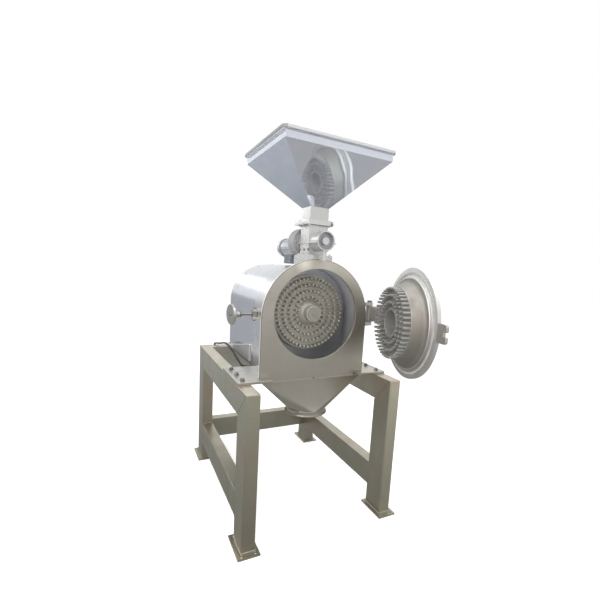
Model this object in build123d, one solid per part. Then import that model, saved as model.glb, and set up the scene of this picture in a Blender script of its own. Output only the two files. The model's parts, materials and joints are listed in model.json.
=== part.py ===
from build123d import *
import math
import os

os.makedirs("parts", exist_ok=True)

# Stand, welded from rectangular tube. Origin on the floor at its middle, front is -Y.
stand_width = 765.0
stand_length = 1010.0
stand_height = 700.0
tube_broad = 120.0
tube_narrow = 60.0
tube_wall = 4.0
low_rail_bottom = 110.0
foot_thick = 10.0
foot_over_out = 21.0
foot_over_in = 17.0
foot_end_out = 29.0
foot_end_in = 16.0
anchor_hole_radius = 6.5

# Plates that carry the mill on the rails.
mount_thick = 12.0
mount_ahead = 50.0
mount_short = 38.0
mount_bolt_radius = 8.0
mount_bolt_hole = 8.4
mount_bolt_pitch = 95.0
bolt_head_height = 10.0
bolt_nut_height = 13.0

# Mill body.
plate_setback = 181.0
plate_thick = 12.0
plate_half_width = 273.0
plate_arch_drop = 15.0
plate_skirt = 8.0
opening_radius = 213.0
axis_height = 297.0
shell_radius = 224.0
shell_wall = 6.0
shell_depth = 242.0
bulkhead_gap = 10.0
bulkhead_thick = 12.0

# Discharge.
cone_half_width = 260.0
cone_wall = 4.0
cone_height = 162.0
cone_flange = 6.0
cone_inset = 2.0
cone_folds = 8
collar_radius = 98.5
collar_wall = 3.0
collar_height = 24.0
collar_lip = 6.0
collar_lip_height = 5.0

# Rotor and shaft.
rotor_recess = 100.0
rotor_radius = 183.0
rotor_thick = 18.0
rotor_first_ring = 75.5
ring_pitch = 30.5
rotor_rings = 4
stator_rings = 3
pin_radius = 5.7
pin_length = 31.0
ring_first_pins = 21
ring_more_pins = 10
land_height = 2.0
land_width = 8.0
hub_radius = 39.0
hub_recess = 36.0
hub_cone_radius = 66.0
hub_cone_height = 26.0
hub_cone_step = 3.0
nose_thick = 6.0
nose_radius = 33.0
nose_bolt_radius = 8.0
nose_bolt_height = 5.0
shaft_radius = 20.0
shoulder_step = 8.0
journal_step = 5.0
journal_length = 180.0
bearing_radius = 45.0
bearing_width = 22.0
running_fit = 0.05
free_gap = 2.0
housing_radius = 70.0
housing_flange_radius = 95.0
housing_flange_thick = 14.0
housing_length = 190.0
coupling_radius = 42.0
coupling_half = 40.0
coupling_gap = 16.0

# Main motor and its cover.
motor_radius = 112.0
motor_length = 200.0
motor_shield = 14.0
motor_cowl = 52.0
motor_foot_drop = 132.0
motor_foot_half = 100.0
motor_foot_width = 40.0
cradle_top = 12.0
cradle_wall = 10.0
cover_length = 400.0
cover_wall = 4.0
cap_overlap = 20.0
cap_length = 94.0
vent_count = 7
vent_height = 8.0
vent_pitch = 24.0
rib_drop = 40.0
rib_thick = 10.0
rib_half_spread = 150.0

# Door, built closed and then turned to the open pose of the photograph.
door_open_angle = 76.6
door_radius = 245.5
door_thick = 16.0
seal_thick = 3.0
seal_inner = 216.0
seal_outer = 226.0
seal_clear = 0.4
spigot_radius = 205.0
spigot_wall = 12.0
spigot_depth = 8.0
spigot_bevel = 2.0
drum_step = 4.0
drum_lip = 2.0
drum_root_radius = 178.0
drum_flare = 18.0
drum_flare_steps = 4
drum_face_radius = 160.0
drum_recess = 64.0
drum_wall = 8.0
drum_hole_radius = 57.0
drum_sleeve_out = 20.0
hinge_reach = 57.0
hinge_back = 57.5
hinge_pin_radius = 9.0
knuckle_radius = 17.0
knuckle_height = 78.0
hinge_ear_thick = 20.0
hinge_ear_gap = 1.0
arm_thick = 20.0
arm_length = 140.0
bracket_thick = 14.0
lug_half_height = 37.0
lug_past_rod = 11.0
lug_thick = 12.0
lug_root = 225.0
lug_slot = 18.0
lug_nose = 12.0
lug_lead = 5.0

# Clamp bolt on the left edge of the front plate.
clamp_reach = 22.0
clamp_back = 28.0
clamp_rest_angle = 188.3
clamp_eye_radius = 15.0
clamp_eye_height = 20.0
clamp_ear_thick = 13.0
clamp_ear_gap = 0.6
clamp_pin_radius = 6.0
rod_radius = 6.0
washer_start = 66.0
washer_thick = 4.0
washer_radius = 13.0
boss_radius = 12.0
boss_length = 32.0
wheel_radius = 44.0
wheel_thick = 10.0
rod_past_wheel = 3.0

# Feed: saddle, star valve, gear motor, gate and hopper.
feed_setback = 86.0
saddle_half_width = 66.0
saddle_depth = 122.0
saddle_rise = 53.0
duct_half = 47.5
duct_wall = 4.0
throat_half = 29.0
valve_height = 61.5
valve_radius = 44.0
valve_bore = 39.0
valve_ahead = 45.0
valve_tail = 68.0
vane_count = 6
vane_thick = 4.0
vane_clear = 0.6
valve_shaft_radius = 10.0
end_cap_inset = 16.0
end_cap_thick = 12.0
end_cap_boss = 16.5
end_cap_boss_height = 12.0
strut_half = 9.0
strut_thick = 14.0
strut_foot = 9.0
reducer_flange_radius = 52.0
reducer_flange_thick = 10.0
reducer_radius = 69.0
reducer_length = 85.0
feed_motor_radius = 46.0
feed_motor_drop = 20.0
feed_motor_length = 155.0
feed_cowl_length = 45.0
feed_cowl_step = 3.0
feed_box_half = 27.0
feed_box_length = 100.0
feed_box_drop = 39.0
feed_cradle_half = 30.0
feed_cradle_length = 45.0
gate_rise = 72.5
gate_flange = 10.0
gate_over = 9.0
gate_thick = 4.0
gate_clear = 0.4
gate_rail = 7.0
gate_hook = 22.0
gate_hook_rise = 18.0
gate_rod_radius = 4.0
gate_rod_length = 26.0
knob_radius = 12.0
knob_length = 18.0
hopper_shift = 25.0
hopper_wall = 3.0
hopper_half = 254.0
hopper_neck = 57.0
hopper_slope = 208.5
hopper_band = 43.5
hopper_lip = 13.0
hopper_lip_drop = 12.0
hopper_lip_corner = 16.0

# Cable from the junction box over the rear rail to the rib under the motor base.
cable_radius = 5.25
cable_box_inset = 26.5
cable_side_gap = 35.0
cable_rise = 20.0
cable_peak = 44.0
cable_peak_back = 205.0
cable_end_gap = 40.0
cable_under = 12.0
box_half = 40.0
box_depth = 40.0
box_height = 55.0
box_drop = 130.0
gland_radius = 11.0
gland_length = 22.0
gland_tip = 7.5

# Values that follow from the sizes above.
half_w = stand_width / 2
rail_in = half_w - tube_narrow
half_l = stand_length / 2
leg_in = half_l - tube_broad
mount_top = stand_height + mount_thick
axis_z = stand_height + axis_height
skirt_z = stand_height - plate_skirt
plate_front = plate_setback - half_l
plate_back = plate_front + plate_thick
mount_front = plate_front - mount_ahead
shell_back = plate_back + shell_depth
mount_back = shell_back - mount_short
shell_inner = shell_radius - shell_wall
arch_z = axis_z - plate_arch_drop
disc_face = plate_front + rotor_recess
disc_back = disc_face + rotor_thick
bulk_front = disc_back + bulkhead_gap
bulk_back = bulk_front + bulkhead_thick
door_in = plate_front - seal_thick - seal_clear
door_out = door_in - door_thick
drum_face = plate_front + drum_recess
hinge_x = plate_half_width + hinge_reach
hinge_y = plate_front + hinge_back
clamp_x = -plate_half_width - clamp_reach
clamp_y = plate_front + clamp_back
saddle_top = axis_z + shell_radius + saddle_rise
valve_z = saddle_top + valve_height
feed_y = plate_front + feed_setback
valve_front = plate_front - valve_ahead
valve_back = feed_y + valve_tail
gate_height = valve_z + gate_rise
hopper_y = feed_y + hopper_shift
cable_x_box = cable_box_inset - rail_in
cable_x_side = -shell_radius - cable_side_gap
cable_peak_y = half_l - cable_peak_back
cable_end_y = shell_back + cable_end_gap


def save(name, shape):
    export_step(shape, "parts/" + name + ".step")


def group(shapes):
    return Compound(children=shapes)


def box(x0, x1, y0, y1, z0, z1):
    block = Box(x1 - x0, y1 - y0, z1 - z0)
    return Pos((x0 + x1) / 2, (y0 + y1) / 2, (z0 + z1) / 2) * block


def rod_y(x, z, radius, y0, y1):
    return Pos(x, (y0 + y1) / 2, z) * Rot(90, 0, 0) * Cylinder(radius, y1 - y0)


def rod_x(y, z, radius, x0, x1):
    return Pos((x0 + x1) / 2, y, z) * Rot(0, 90, 0) * Cylinder(radius, x1 - x0)


def rod_z(x, y, radius, z0, z1):
    return Pos(x, y, (z0 + z1) / 2) * Cylinder(radius, z1 - z0)


def face_of(points):
    return make_face(Polyline(*points, close=True))


def along_y(face, y0, y1):
    return Pos(0, y1, 0) * Rot(90, 0, 0) * extrude(face, y1 - y0)


def along_x(face, x0, x1):
    return Pos(x0, 0, 0) * extrude(Plane.YZ * face, x1 - x0)


def along_z(face, z0, z1):
    return Pos(0, 0, z0) * extrude(face, z1 - z0)


def turned_y(points, z):
    return Pos(0, 0, z) * revolve(face_of(points), Axis.Y)


def arch_face(radius, bottom, centre):
    block = Pos(0, (bottom + centre) / 2) * Rectangle(2 * radius, centre - bottom)
    return block + Pos(0, centre) * Circle(radius)


# Stand: each leg and side rail is a mitred tube, drawn as its side view.
def mitred_tube(outer, inner, side):
    x_low = rail_in if side > 0 else -half_w
    skin = along_x(face_of(outer), x_low, x_low + tube_narrow)
    hollow = along_x(face_of(inner), x_low + tube_wall, x_low + tube_narrow - tube_wall)
    return skin - hollow


def leg(side, end):
    out = end * half_l
    inn = end * leg_in
    out_wall = end * (half_l - tube_wall)
    inn_wall = end * (leg_in + tube_wall)
    low = stand_height - tube_broad
    outer = [(out, foot_thick), (inn, foot_thick), (inn, low), (out, stand_height)]
    inner = [
        (out_wall, foot_thick),
        (inn_wall, foot_thick),
        (inn_wall, low + tube_wall),
        (out_wall, stand_height - tube_wall),
    ]
    return mitred_tube(outer, inner, side)


bolt_x = half_w - tube_narrow / 2
bolt_ys = [mount_front + 34 + k * mount_bolt_pitch for k in range(3)]


def top_rail(side):
    low = stand_height - tube_broad
    outer = [(-half_l, stand_height), (-leg_in, low), (leg_in, low), (half_l, stand_height)]
    inner = [
        (tube_wall - half_l, stand_height - tube_wall),
        (-leg_in - tube_wall, low + tube_wall),
        (leg_in + tube_wall, low + tube_wall),
        (half_l - tube_wall, stand_height - tube_wall),
    ]
    rail = mitred_tube(outer, inner, side)
    for y in bolt_ys:
        rail -= rod_z(side * bolt_x, y, mount_bolt_hole, stand_height - 2 * tube_wall, stand_height + 1)
    return rail


def low_rail(side):
    top = low_rail_bottom + tube_broad
    x_low = rail_in if side > 0 else -half_w
    skin = box(x_low, x_low + tube_narrow, -leg_in, leg_in, low_rail_bottom, top)
    inside = box(
        x_low + tube_wall,
        x_low + tube_narrow - tube_wall,
        -leg_in,
        leg_in,
        low_rail_bottom + tube_wall,
        top - tube_wall,
    )
    return skin - inside


def cross_rail(bottom):
    top = bottom + tube_broad
    y0 = half_l - tube_narrow
    skin = box(-rail_in, rail_in, y0, half_l, bottom, top)
    return skin - box(-rail_in, rail_in, y0 + tube_wall, half_l - tube_wall, bottom + tube_wall, top - tube_wall)


save("front_left_leg", leg(-1, -1))
save("front_right_leg", leg(1, -1))
save("rear_left_leg", leg(-1, 1))
save("rear_right_leg", leg(1, 1))
save("left_top_rail", top_rail(-1))
save("right_top_rail", top_rail(1))
save("rear_top_rail", cross_rail(stand_height - tube_broad))
save("left_lower_rail", low_rail(-1))
save("right_lower_rail", low_rail(1))
save("rear_lower_rail", cross_rail(low_rail_bottom))

feet = []
for side in (-1, 1):
    for end in (-1, 1):
        xs = sorted([side * (half_w + foot_over_out), side * (rail_in - foot_over_in)])
        ys = sorted([end * (half_l + foot_end_out), end * (leg_in - foot_end_in)])
        pad = box(xs[0], xs[1], ys[0], ys[1], 0, foot_thick)
        for k in (-1, 1):
            hole_x = (xs[0] + xs[1]) / 2 + k * tube_narrow / 2
            hole_y = end * (half_l + foot_end_out / 2)
            pad -= rod_z(hole_x, hole_y, anchor_hole_radius, -1, foot_thick + 1)
        feet.append(pad)
save("foot_plates", group(feet))


# Mount plates and their bolts.
def mount_plate(side):
    xs = sorted([side * shell_radius, side * half_w])
    plate = box(xs[0], xs[1], mount_front, mount_back, stand_height, mount_top)
    for y in bolt_ys:
        plate -= rod_z(side * bolt_x, y, mount_bolt_hole, stand_height - 1, mount_top + 1)
    return plate


save("left_mount_plate", mount_plate(-1))
save("right_mount_plate", mount_plate(1))

bolts = []
for side in (-1, 1):
    for y in bolt_ys:
        under = stand_height - tube_wall
        head = extrude(RegularPolygon(1.5 * mount_bolt_radius, 6), bolt_head_height)
        nut = extrude(RegularPolygon(1.5 * mount_bolt_radius, 6), bolt_nut_height)
        shank = rod_z(0, 0, mount_bolt_radius, under - bolt_nut_height - 4, mount_top)
        bolt = shank + Pos(0, 0, mount_top) * head + Pos(0, 0, under - bolt_nut_height) * nut
        bolts.append(Pos(side * bolt_x, y, 0) * bolt)
save("mount_bolts", group(bolts))

# Mill body: shell, front plate with the round opening, back plate.
shell_skin = along_y(arch_face(shell_radius, skirt_z, axis_z), plate_back, shell_back)
shell_room = along_y(arch_face(shell_inner, skirt_z, axis_z), plate_back, shell_back)
inlet_cut = box(
    -throat_half, throat_half, feed_y - duct_half + duct_wall, feed_y + duct_half - duct_wall, axis_z, saddle_top
)
save("chamber_shell", shell_skin - shell_room - inlet_cut)

plate_face = arch_face(plate_half_width, skirt_z, arch_z) - Pos(0, axis_z) * Circle(opening_radius)
notch_mid = (skirt_z + mount_top) / 2
for side in (-1, 1):
    notch_x = side * (shell_radius + plate_half_width) / 2
    plate_face -= Pos(notch_x, notch_mid) * Rectangle(plate_half_width - shell_radius, mount_top - skirt_z)
save("front_plate", along_y(plate_face, plate_front, plate_back))

bulk_face = arch_face(shell_inner, skirt_z, axis_z)
bulk_face -= Pos(0, axis_z) * Circle(shaft_radius + shoulder_step + free_gap)
save("chamber_back_plate", along_y(bulk_face, bulk_front, bulk_back))

# Discharge: a square to round cone under a flange, and the collar for the bag.
cone_front = plate_front + cone_inset
cone_back = bulk_back - cone_inset
cone_mid = (cone_front + cone_back) / 2
cone_top = skirt_z - cone_flange
cone_low = skirt_z - cone_height


def flat(points):
    return Face(Wire.make_polygon(points, close=True))


def cone_skin(inset):
    wide = cone_half_width - inset
    deep = (cone_back - cone_front) / 2 - inset
    radius = collar_radius - inset
    corners = []
    for sx, sy in ((1, 1), (-1, 1), (-1, -1), (1, -1)):
        corners.append((sx * wide, cone_mid + sy * deep, cone_top))
    ring = []
    for k in range(4 * cone_folds):
        turn = math.pi / 2 * k / cone_folds
        ring.append((radius * math.cos(turn), cone_mid + radius * math.sin(turn), cone_low))
    skin = [flat(corners), flat(ring)]
    for side in range(4):
        for k in range(cone_folds):
            here = side * cone_folds + k
            skin.append(flat([corners[side], ring[here], ring[(here + 1) % len(ring)]]))
        skin.append(flat([corners[side], corners[(side + 1) % 4], ring[(side + 1) * cone_folds % len(ring)]]))
    return Solid(Shell(skin))


flange = box(-cone_half_width, cone_half_width, cone_front, cone_back, cone_top, skirt_z)
flange -= box(-shell_inner, shell_inner, plate_back, bulk_front, cone_top, skirt_z)
save("discharge_cone", cone_skin(0) - cone_skin(cone_wall) + flange)

collar_in = collar_radius - collar_wall
collar_low = cone_low - collar_height
collar_face = face_of([
    (collar_in, cone_low),
    (collar_radius, cone_low),
    (collar_radius, collar_low + collar_lip_height),
    (collar_radius + collar_lip, collar_low + collar_lip_height),
    (collar_radius + collar_lip, collar_low),
    (collar_in, collar_low),
])
collar = revolve(Rot(90, 0, 0) * collar_face, Axis.Z)
save("outlet_collar", Pos(0, cone_mid, 0) * collar)

# Drive train hidden in the rear cover.
shoulder_r = shaft_radius + shoulder_step
journal_r = shaft_radius + journal_step
bear_a = bulk_back + bearing_width
housing_end = bulk_back + housing_length
bear_b = housing_end - bearing_width
shoulder_end = bear_a
shaft_end = shoulder_end + journal_length
housing_ring = [
    (shoulder_r + free_gap, bulk_back),
    (housing_flange_radius, bulk_back),
    (housing_flange_radius, bulk_back + housing_flange_thick),
    (housing_radius, bulk_back + housing_flange_thick),
    (housing_radius, housing_end),
    (bearing_radius, housing_end),
    (bearing_radius, bear_a),
    (shoulder_r + free_gap, bear_a),
]
save("bearing_housing", turned_y(housing_ring, axis_z))

bearings = []
for start in (bear_a, bear_b):
    race = rod_y(0, axis_z, bearing_radius, start, start + bearing_width)
    race -= rod_y(0, axis_z, journal_r + running_fit, start, start + bearing_width)
    bearings.append(race)
save("shaft_bearings", group(bearings))

hub_front = plate_front + hub_recess
shaft_face = [
    (0, hub_front),
    (shaft_radius, hub_front),
    (shaft_radius, disc_back),
    (shoulder_r, disc_back),
    (shoulder_r, shoulder_end),
    (journal_r, shoulder_end),
    (journal_r, housing_end + free_gap),
    (shaft_radius, housing_end + free_gap),
    (shaft_radius, housing_end + free_gap + coupling_half),
    (0, housing_end + free_gap + coupling_half),
]
save("main_shaft", turned_y(shaft_face, axis_z))

half_a = housing_end + free_gap
half_b = half_a + coupling_half + coupling_gap
coupling_end = half_b + coupling_half
front_half = rod_y(0, axis_z, coupling_radius, half_a, half_a + coupling_half)
front_half -= rod_y(0, axis_z, shaft_radius, half_a, half_a + coupling_half)
spider = rod_y(0, axis_z, coupling_radius, half_a + coupling_half, half_b)
rear_half = rod_y(0, axis_z, coupling_radius, half_b, coupling_end)
rear_half -= rod_y(0, axis_z, shaft_radius, half_b, coupling_end)
save("shaft_coupling", group([front_half, spider, rear_half]))

motor_front = coupling_end + free_gap
motor_body = motor_front + motor_shield
motor_rear = motor_body + motor_length
save("motor_shaft", rod_y(0, axis_z, shaft_radius, half_b, motor_body + motor_shield))

motor_face = [
    (0, motor_front),
    (motor_radius - 2 * motor_shield, motor_front),
    (motor_radius, motor_body),
    (motor_radius, motor_rear),
    (motor_radius - motor_shield, motor_rear),
    (motor_radius - motor_shield, motor_rear + motor_cowl - motor_shield),
    (motor_radius - 2 * motor_shield, motor_rear + motor_cowl),
    (0, motor_rear + motor_cowl),
]
foot_z = axis_z - motor_foot_drop
foot_y0 = motor_body + 2 * motor_shield
foot_y1 = motor_rear - 2 * motor_shield
motor = turned_y(motor_face, axis_z)
for side in (-1, 1):
    xs = sorted([side * motor_foot_half, side * (motor_foot_half - motor_foot_width)])
    motor += box(xs[0], xs[1], foot_y0, foot_y1, foot_z, axis_z - motor_radius / 2)
motor -= rod_y(0, axis_z, shaft_radius + running_fit, motor_front - 1, motor_body + motor_shield + free_gap)
save("main_motor", motor)

cradle_half = motor_foot_half + cradle_wall
cradle_face = face_of([
    (-cradle_half, mount_top),
    (cradle_half, mount_top),
    (cradle_half, foot_z),
    (-cradle_half, foot_z),
])
cradle_face -= face_of([
    (cradle_wall - cradle_half, mount_top),
    (cradle_half - cradle_wall, mount_top),
    (cradle_half - cradle_wall, foot_z - cradle_top),
    (cradle_wall - cradle_half, foot_z - cradle_top),
])
save("motor_cradle", along_y(cradle_face, foot_y0, foot_y1))

base_end = half_l - tube_wall
base_outline = face_of([
    (-shell_inner, bulk_back),
    (shell_inner, bulk_back),
    (shell_inner, shell_back),
    (shell_radius, shell_back),
    (shell_radius, base_end),
    (-shell_radius, base_end),
    (-shell_radius, shell_back),
    (-shell_inner, shell_back),
])
base = along_z(base_outline, stand_height, mount_top)
for side in (-1, 1):
    xs = sorted([side * rib_half_spread, side * (rib_half_spread - rib_thick)])
    base += box(xs[0], xs[1], shell_back, half_l - tube_narrow, stand_height - rib_drop, stand_height)
save("motor_base", base)

cover_end = shell_back + cover_length
cover_in = shell_radius - cover_wall
cover = along_y(arch_face(shell_radius, mount_top, axis_z), shell_back, cover_end)
cover -= along_y(arch_face(cover_in, mount_top, axis_z), shell_back, cover_end)
save("rear_cover", cover)

cap_start = cover_end - cap_overlap
cap_end = cover_end + cap_length
cap = along_y(arch_face(cover_in, mount_top, axis_z), cap_start, cap_end)
cap -= along_y(arch_face(cover_in - cover_wall, mount_top, axis_z), cap_start, cap_end - cover_wall)
for k in range(vent_count):
    vent_z = axis_z + (k - (vent_count - 1) / 2) * vent_pitch
    slot = Pos(0, vent_z) * SlotOverall(motor_radius * 2, vent_height)
    cap -= along_y(slot, cap_end - 2 * cover_wall, cap_end + 1)
save("rear_end_cap", cap)


# Rotor: disc with hub and low lands between the rings of pins.
def pin_ring(step, y0, y1):
    radius = rotor_first_ring + step * ring_pitch
    number = round(ring_first_pins + step * ring_more_pins)
    pins = []
    for k in range(number):
        turn = 2 * math.pi * k / number
        spot = Pos(radius * math.cos(turn), radius * math.sin(turn))
        pins.append(along_y(spot * RegularPolygon(pin_radius, 8), y0, y1))
    return pins


disc = rod_y(0, axis_z, rotor_radius, disc_face, disc_back)
disc += rod_y(0, axis_z, hub_radius, hub_front, disc_face)
hub_cone = [
    (shaft_radius, disc_face),
    (hub_cone_radius, disc_face),
    (hub_radius + hub_cone_step, disc_face - hub_cone_height),
    (shaft_radius, disc_face - hub_cone_height),
]
disc += turned_y(hub_cone, axis_z)
for k in range(stator_rings):
    mid = rotor_first_ring + (k + 0.5) * ring_pitch
    land = rod_y(0, axis_z, mid + land_width / 2, disc_face - land_height, disc_face)
    disc += land - rod_y(0, axis_z, mid - land_width / 2, disc_face - land_height, disc_face)
disc -= rod_y(0, axis_z, shaft_radius, hub_front, disc_back)
save("rotor_disc", disc)

rotor_pins = []
for k in range(rotor_rings):
    rotor_pins += pin_ring(k, disc_face - pin_length, disc_face)
save("rotor_pins", Pos(0, 0, axis_z) * group(rotor_pins))

nose = rod_y(0, axis_z, nose_radius, hub_front - nose_thick, hub_front)
nose_top = hub_front - nose_thick
bolt_face = Pos(0, axis_z) * RegularPolygon(nose_bolt_radius, 6)
save("rotor_nose", nose + along_y(bolt_face, nose_top - nose_bolt_height, nose_top))

# Door, drawn closed and swung about the hinge pin to its rest pose.
hinge_line = Axis((hinge_x, hinge_y, 0), (0, 0, 1))


def swing(shape):
    return shape.rotate(hinge_line, door_open_angle)


spigot_end = plate_front + spigot_depth
spigot_in = spigot_radius - spigot_wall
door_ring = [
    (0, door_out),
    (door_radius, door_out),
    (door_radius, door_in),
    (spigot_radius, door_in),
    (spigot_radius, spigot_end - spigot_bevel),
    (spigot_radius - spigot_bevel, spigot_end),
    (spigot_in, spigot_end),
    (spigot_in, door_in),
    (0, door_in),
]
save("door_plate", swing(turned_y(door_ring, axis_z)))

seal = rod_y(0, axis_z, seal_outer, door_in, door_in + seal_thick)
seal -= rod_y(0, axis_z, seal_inner, door_in, door_in + seal_thick)
save("door_seal", swing(seal))

drum_base_radius = spigot_radius - spigot_bevel - drum_step
sleeve_radius = drum_hole_radius + drum_wall
lip_top = spigot_end + drum_lip
drum_ring = [(drum_base_radius, spigot_end), (drum_base_radius, lip_top)]
for k in range(drum_flare_steps + 1):
    bend = math.pi / 2 * k / drum_flare_steps
    flare_r = drum_root_radius + drum_flare * (1 - math.sin(bend))
    drum_ring.append((flare_r, lip_top + drum_flare * (1 - math.cos(bend))))
drum_ring += [
    (drum_face_radius, drum_face),
    (sleeve_radius, drum_face),
    (sleeve_radius, drum_face + drum_sleeve_out),
    (drum_hole_radius, drum_face + drum_sleeve_out),
    (drum_hole_radius, door_in),
    (sleeve_radius, door_in),
    (sleeve_radius, drum_face - drum_wall),
    (drum_face_radius - drum_wall, drum_face - drum_wall),
    (drum_root_radius - drum_wall, spigot_end),
]
save("stator_drum", swing(turned_y(drum_ring, axis_z)))

stator_pins = []
for k in range(stator_rings):
    stator_pins += pin_ring(k + 0.5, drum_face, drum_face + pin_length)
save("stator_pins", swing(Pos(0, 0, axis_z) * group(stator_pins)))

lug_reach = lug_past_rod - clamp_x
lug_face = Pos(-(lug_reach + lug_root) / 2, axis_z) * Rectangle(lug_reach - lug_root, 2 * lug_half_height)
slot_half = lug_slot / 2
slot_end = clamp_x + rod_radius + free_gap
lug_face -= Pos((slot_end - lug_reach - 1) / 2, axis_z) * Rectangle(slot_end + lug_reach + 1, lug_slot)
lug_tips = lug_face.vertices().group_by(Axis.X)[0].sort_by(Axis.Y)
lug_face = fillet([lug_tips[0], lug_tips[-1]], lug_nose)
lug_tips = lug_face.vertices().group_by(Axis.X)[0].sort_by(Axis.Y)
lug_face = fillet(lug_tips[1:-1], lug_lead)
lug = along_y(lug_face, door_out - lug_thick + door_thick, door_in)
lug -= rod_y(0, axis_z, door_radius, door_out, door_in)
save("fork_lug", swing(lug))

arm_out = door_out - arm_thick
arm_side = hinge_x + knuckle_radius
arm_face = face_of([
    (hinge_x - knuckle_radius, hinge_y),
    (arm_side, hinge_y),
    (arm_side, arm_out + arm_thick / 2),
    (hinge_x, arm_out),
    (hinge_x - arm_length, arm_out),
    (hinge_x - arm_length, door_out),
    (door_radius + knuckle_radius, door_out),
    (hinge_x - knuckle_radius, door_in + knuckle_radius),
])
arm_face += Pos(hinge_x, hinge_y) * Circle(knuckle_radius)
arm_face -= Pos(hinge_x, hinge_y) * Circle(hinge_pin_radius + running_fit)
knuckle_low = axis_z - knuckle_height / 2
knuckle_high = axis_z + knuckle_height / 2
save("hinge_arm", swing(along_z(arm_face, knuckle_low, knuckle_high)))

ear_low = knuckle_low - hinge_ear_gap - hinge_ear_thick
ear_high = knuckle_high + hinge_ear_gap + hinge_ear_thick
bracket_back = plate_back + bracket_thick
ear_face = face_of([
    (plate_half_width - bracket_thick, bracket_back),
    (plate_half_width, bracket_back),
    (hinge_x, hinge_y - knuckle_radius),
    (hinge_x, hinge_y + knuckle_radius),
    (plate_half_width - bracket_thick, hinge_y + knuckle_radius),
])
ear_face += Pos(hinge_x, hinge_y) * Circle(knuckle_radius)
ear_face -= Pos(hinge_x, hinge_y) * Circle(hinge_pin_radius)
bracket = box(
    shell_radius, plate_half_width, plate_back, bracket_back, ear_low, ear_high
)
bracket += along_z(ear_face, ear_low, ear_low + hinge_ear_thick)
bracket += along_z(ear_face, ear_high - hinge_ear_thick, ear_high)
save("hinge_bracket", bracket)

pin = rod_z(hinge_x, hinge_y, hinge_pin_radius, ear_low, ear_high)
save("hinge_pin", pin + rod_z(hinge_x, hinge_y, 1.4 * hinge_pin_radius, ear_high, ear_high + hinge_pin_radius))

# Clamp: bracket with two ears, eye bolt, thrust washer and handwheel.
eye_low = axis_z - clamp_eye_height / 2
eye_high = axis_z + clamp_eye_height / 2
cear_low = eye_low - clamp_ear_gap - clamp_ear_thick
cear_high = eye_high + clamp_ear_gap + clamp_ear_thick
cbase_x = -plate_half_width + bracket_thick
clamp_ear = face_of([
    (cbase_x, plate_back),
    (clamp_x, plate_back),
    (clamp_x, clamp_y + clamp_eye_radius),
    (cbase_x, clamp_y + clamp_eye_radius),
])
clamp_ear += Pos(clamp_x, clamp_y) * Circle(clamp_eye_radius)
clamp_ear -= Pos(clamp_x, clamp_y) * Circle(clamp_pin_radius)
clamp_base = box(
    -plate_half_width + 2 * clamp_ear_gap, -shell_radius, plate_back, clamp_y + clamp_eye_radius, cear_low, cear_high
)
clamp_base += along_z(clamp_ear, cear_low, cear_low + clamp_ear_thick)
clamp_base += along_z(clamp_ear, cear_high - clamp_ear_thick, cear_high)
save("clamp_bracket", clamp_base)

pivot = rod_z(clamp_x, clamp_y, clamp_pin_radius, cear_low - clamp_pin_radius, cear_high)
pivot += rod_z(clamp_x, clamp_y, 1.4 * clamp_pin_radius, cear_high, cear_high + clamp_pin_radius)
save("clamp_pivot_pin", pivot)

clamp_spot = Pos(clamp_x, clamp_y, axis_z) * Rot(0, 0, clamp_rest_angle)
boss_start = washer_start + washer_thick
wheel_start = boss_start + boss_length
wheel_end = wheel_start + wheel_thick
eye = rod_z(0, 0, clamp_eye_radius, -clamp_eye_height / 2, clamp_eye_height / 2)
eye += rod_x(0, 0, rod_radius, 0, wheel_end + rod_past_wheel)
eye -= rod_z(0, 0, clamp_pin_radius + running_fit, -clamp_eye_height, clamp_eye_height)
save("swing_bolt", clamp_spot * eye)

washer = rod_x(0, 0, washer_radius, washer_start, boss_start)
washer -= rod_x(0, 0, rod_radius + running_fit, washer_start, boss_start)
save("thrust_washer", clamp_spot * washer)

wheel_in = rod_radius + running_fit
wheel_face = face_of([
    (boss_start, wheel_in),
    (boss_start, boss_radius),
    (wheel_start, boss_radius),
    (wheel_start, wheel_radius),
    (wheel_end, wheel_radius),
    (wheel_end, wheel_in),
])
save("handwheel", clamp_spot * revolve(wheel_face, Axis.X))

# Feed: saddle box on the shell, star valve, its gear motor and supports.
saddle = box(
    -saddle_half_width, saddle_half_width, plate_back, plate_back + saddle_depth, axis_z, saddle_top
)
saddle -= rod_y(0, axis_z, shell_radius, plate_front, shell_back)
duct_in = duct_half - duct_wall
saddle -= box(-throat_half, throat_half, feed_y - duct_in, feed_y + duct_in, axis_z, saddle_top + 1)
save("feeder_saddle", saddle)

valve = box(-duct_half, duct_half, feed_y - duct_half, feed_y + duct_half, saddle_top, gate_height)
valve += rod_y(0, valve_z, valve_radius, valve_front, valve_back)
valve -= rod_y(0, valve_z, valve_bore, valve_front - 1, valve_back + 1)
valve -= box(-throat_half, throat_half, feed_y - duct_in, feed_y + duct_in, saddle_top - 1, valve_z)
upper_low = Pos(0, feed_y, valve_z) * Rectangle(2 * throat_half, 2 * duct_in)
upper_high = Pos(0, feed_y, gate_height) * Rectangle(2 * duct_in, 2 * duct_in)
valve -= loft([upper_low, upper_high], ruled=True)
save("feeder_housing", valve)

cap_back = valve_front + end_cap_inset + end_cap_thick
cap_face = valve_front + end_cap_inset
shaft_tip = cap_face - end_cap_boss_height / 2
end_cap = rod_y(0, valve_z, valve_bore, cap_face, cap_back)
end_cap += rod_y(0, valve_z, end_cap_boss, cap_face - end_cap_boss_height, cap_face)
end_cap -= rod_y(0, valve_z, valve_shaft_radius + running_fit, shaft_tip - running_fit * 10, cap_back + 1)
save("feeder_end_cap", end_cap)

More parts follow.
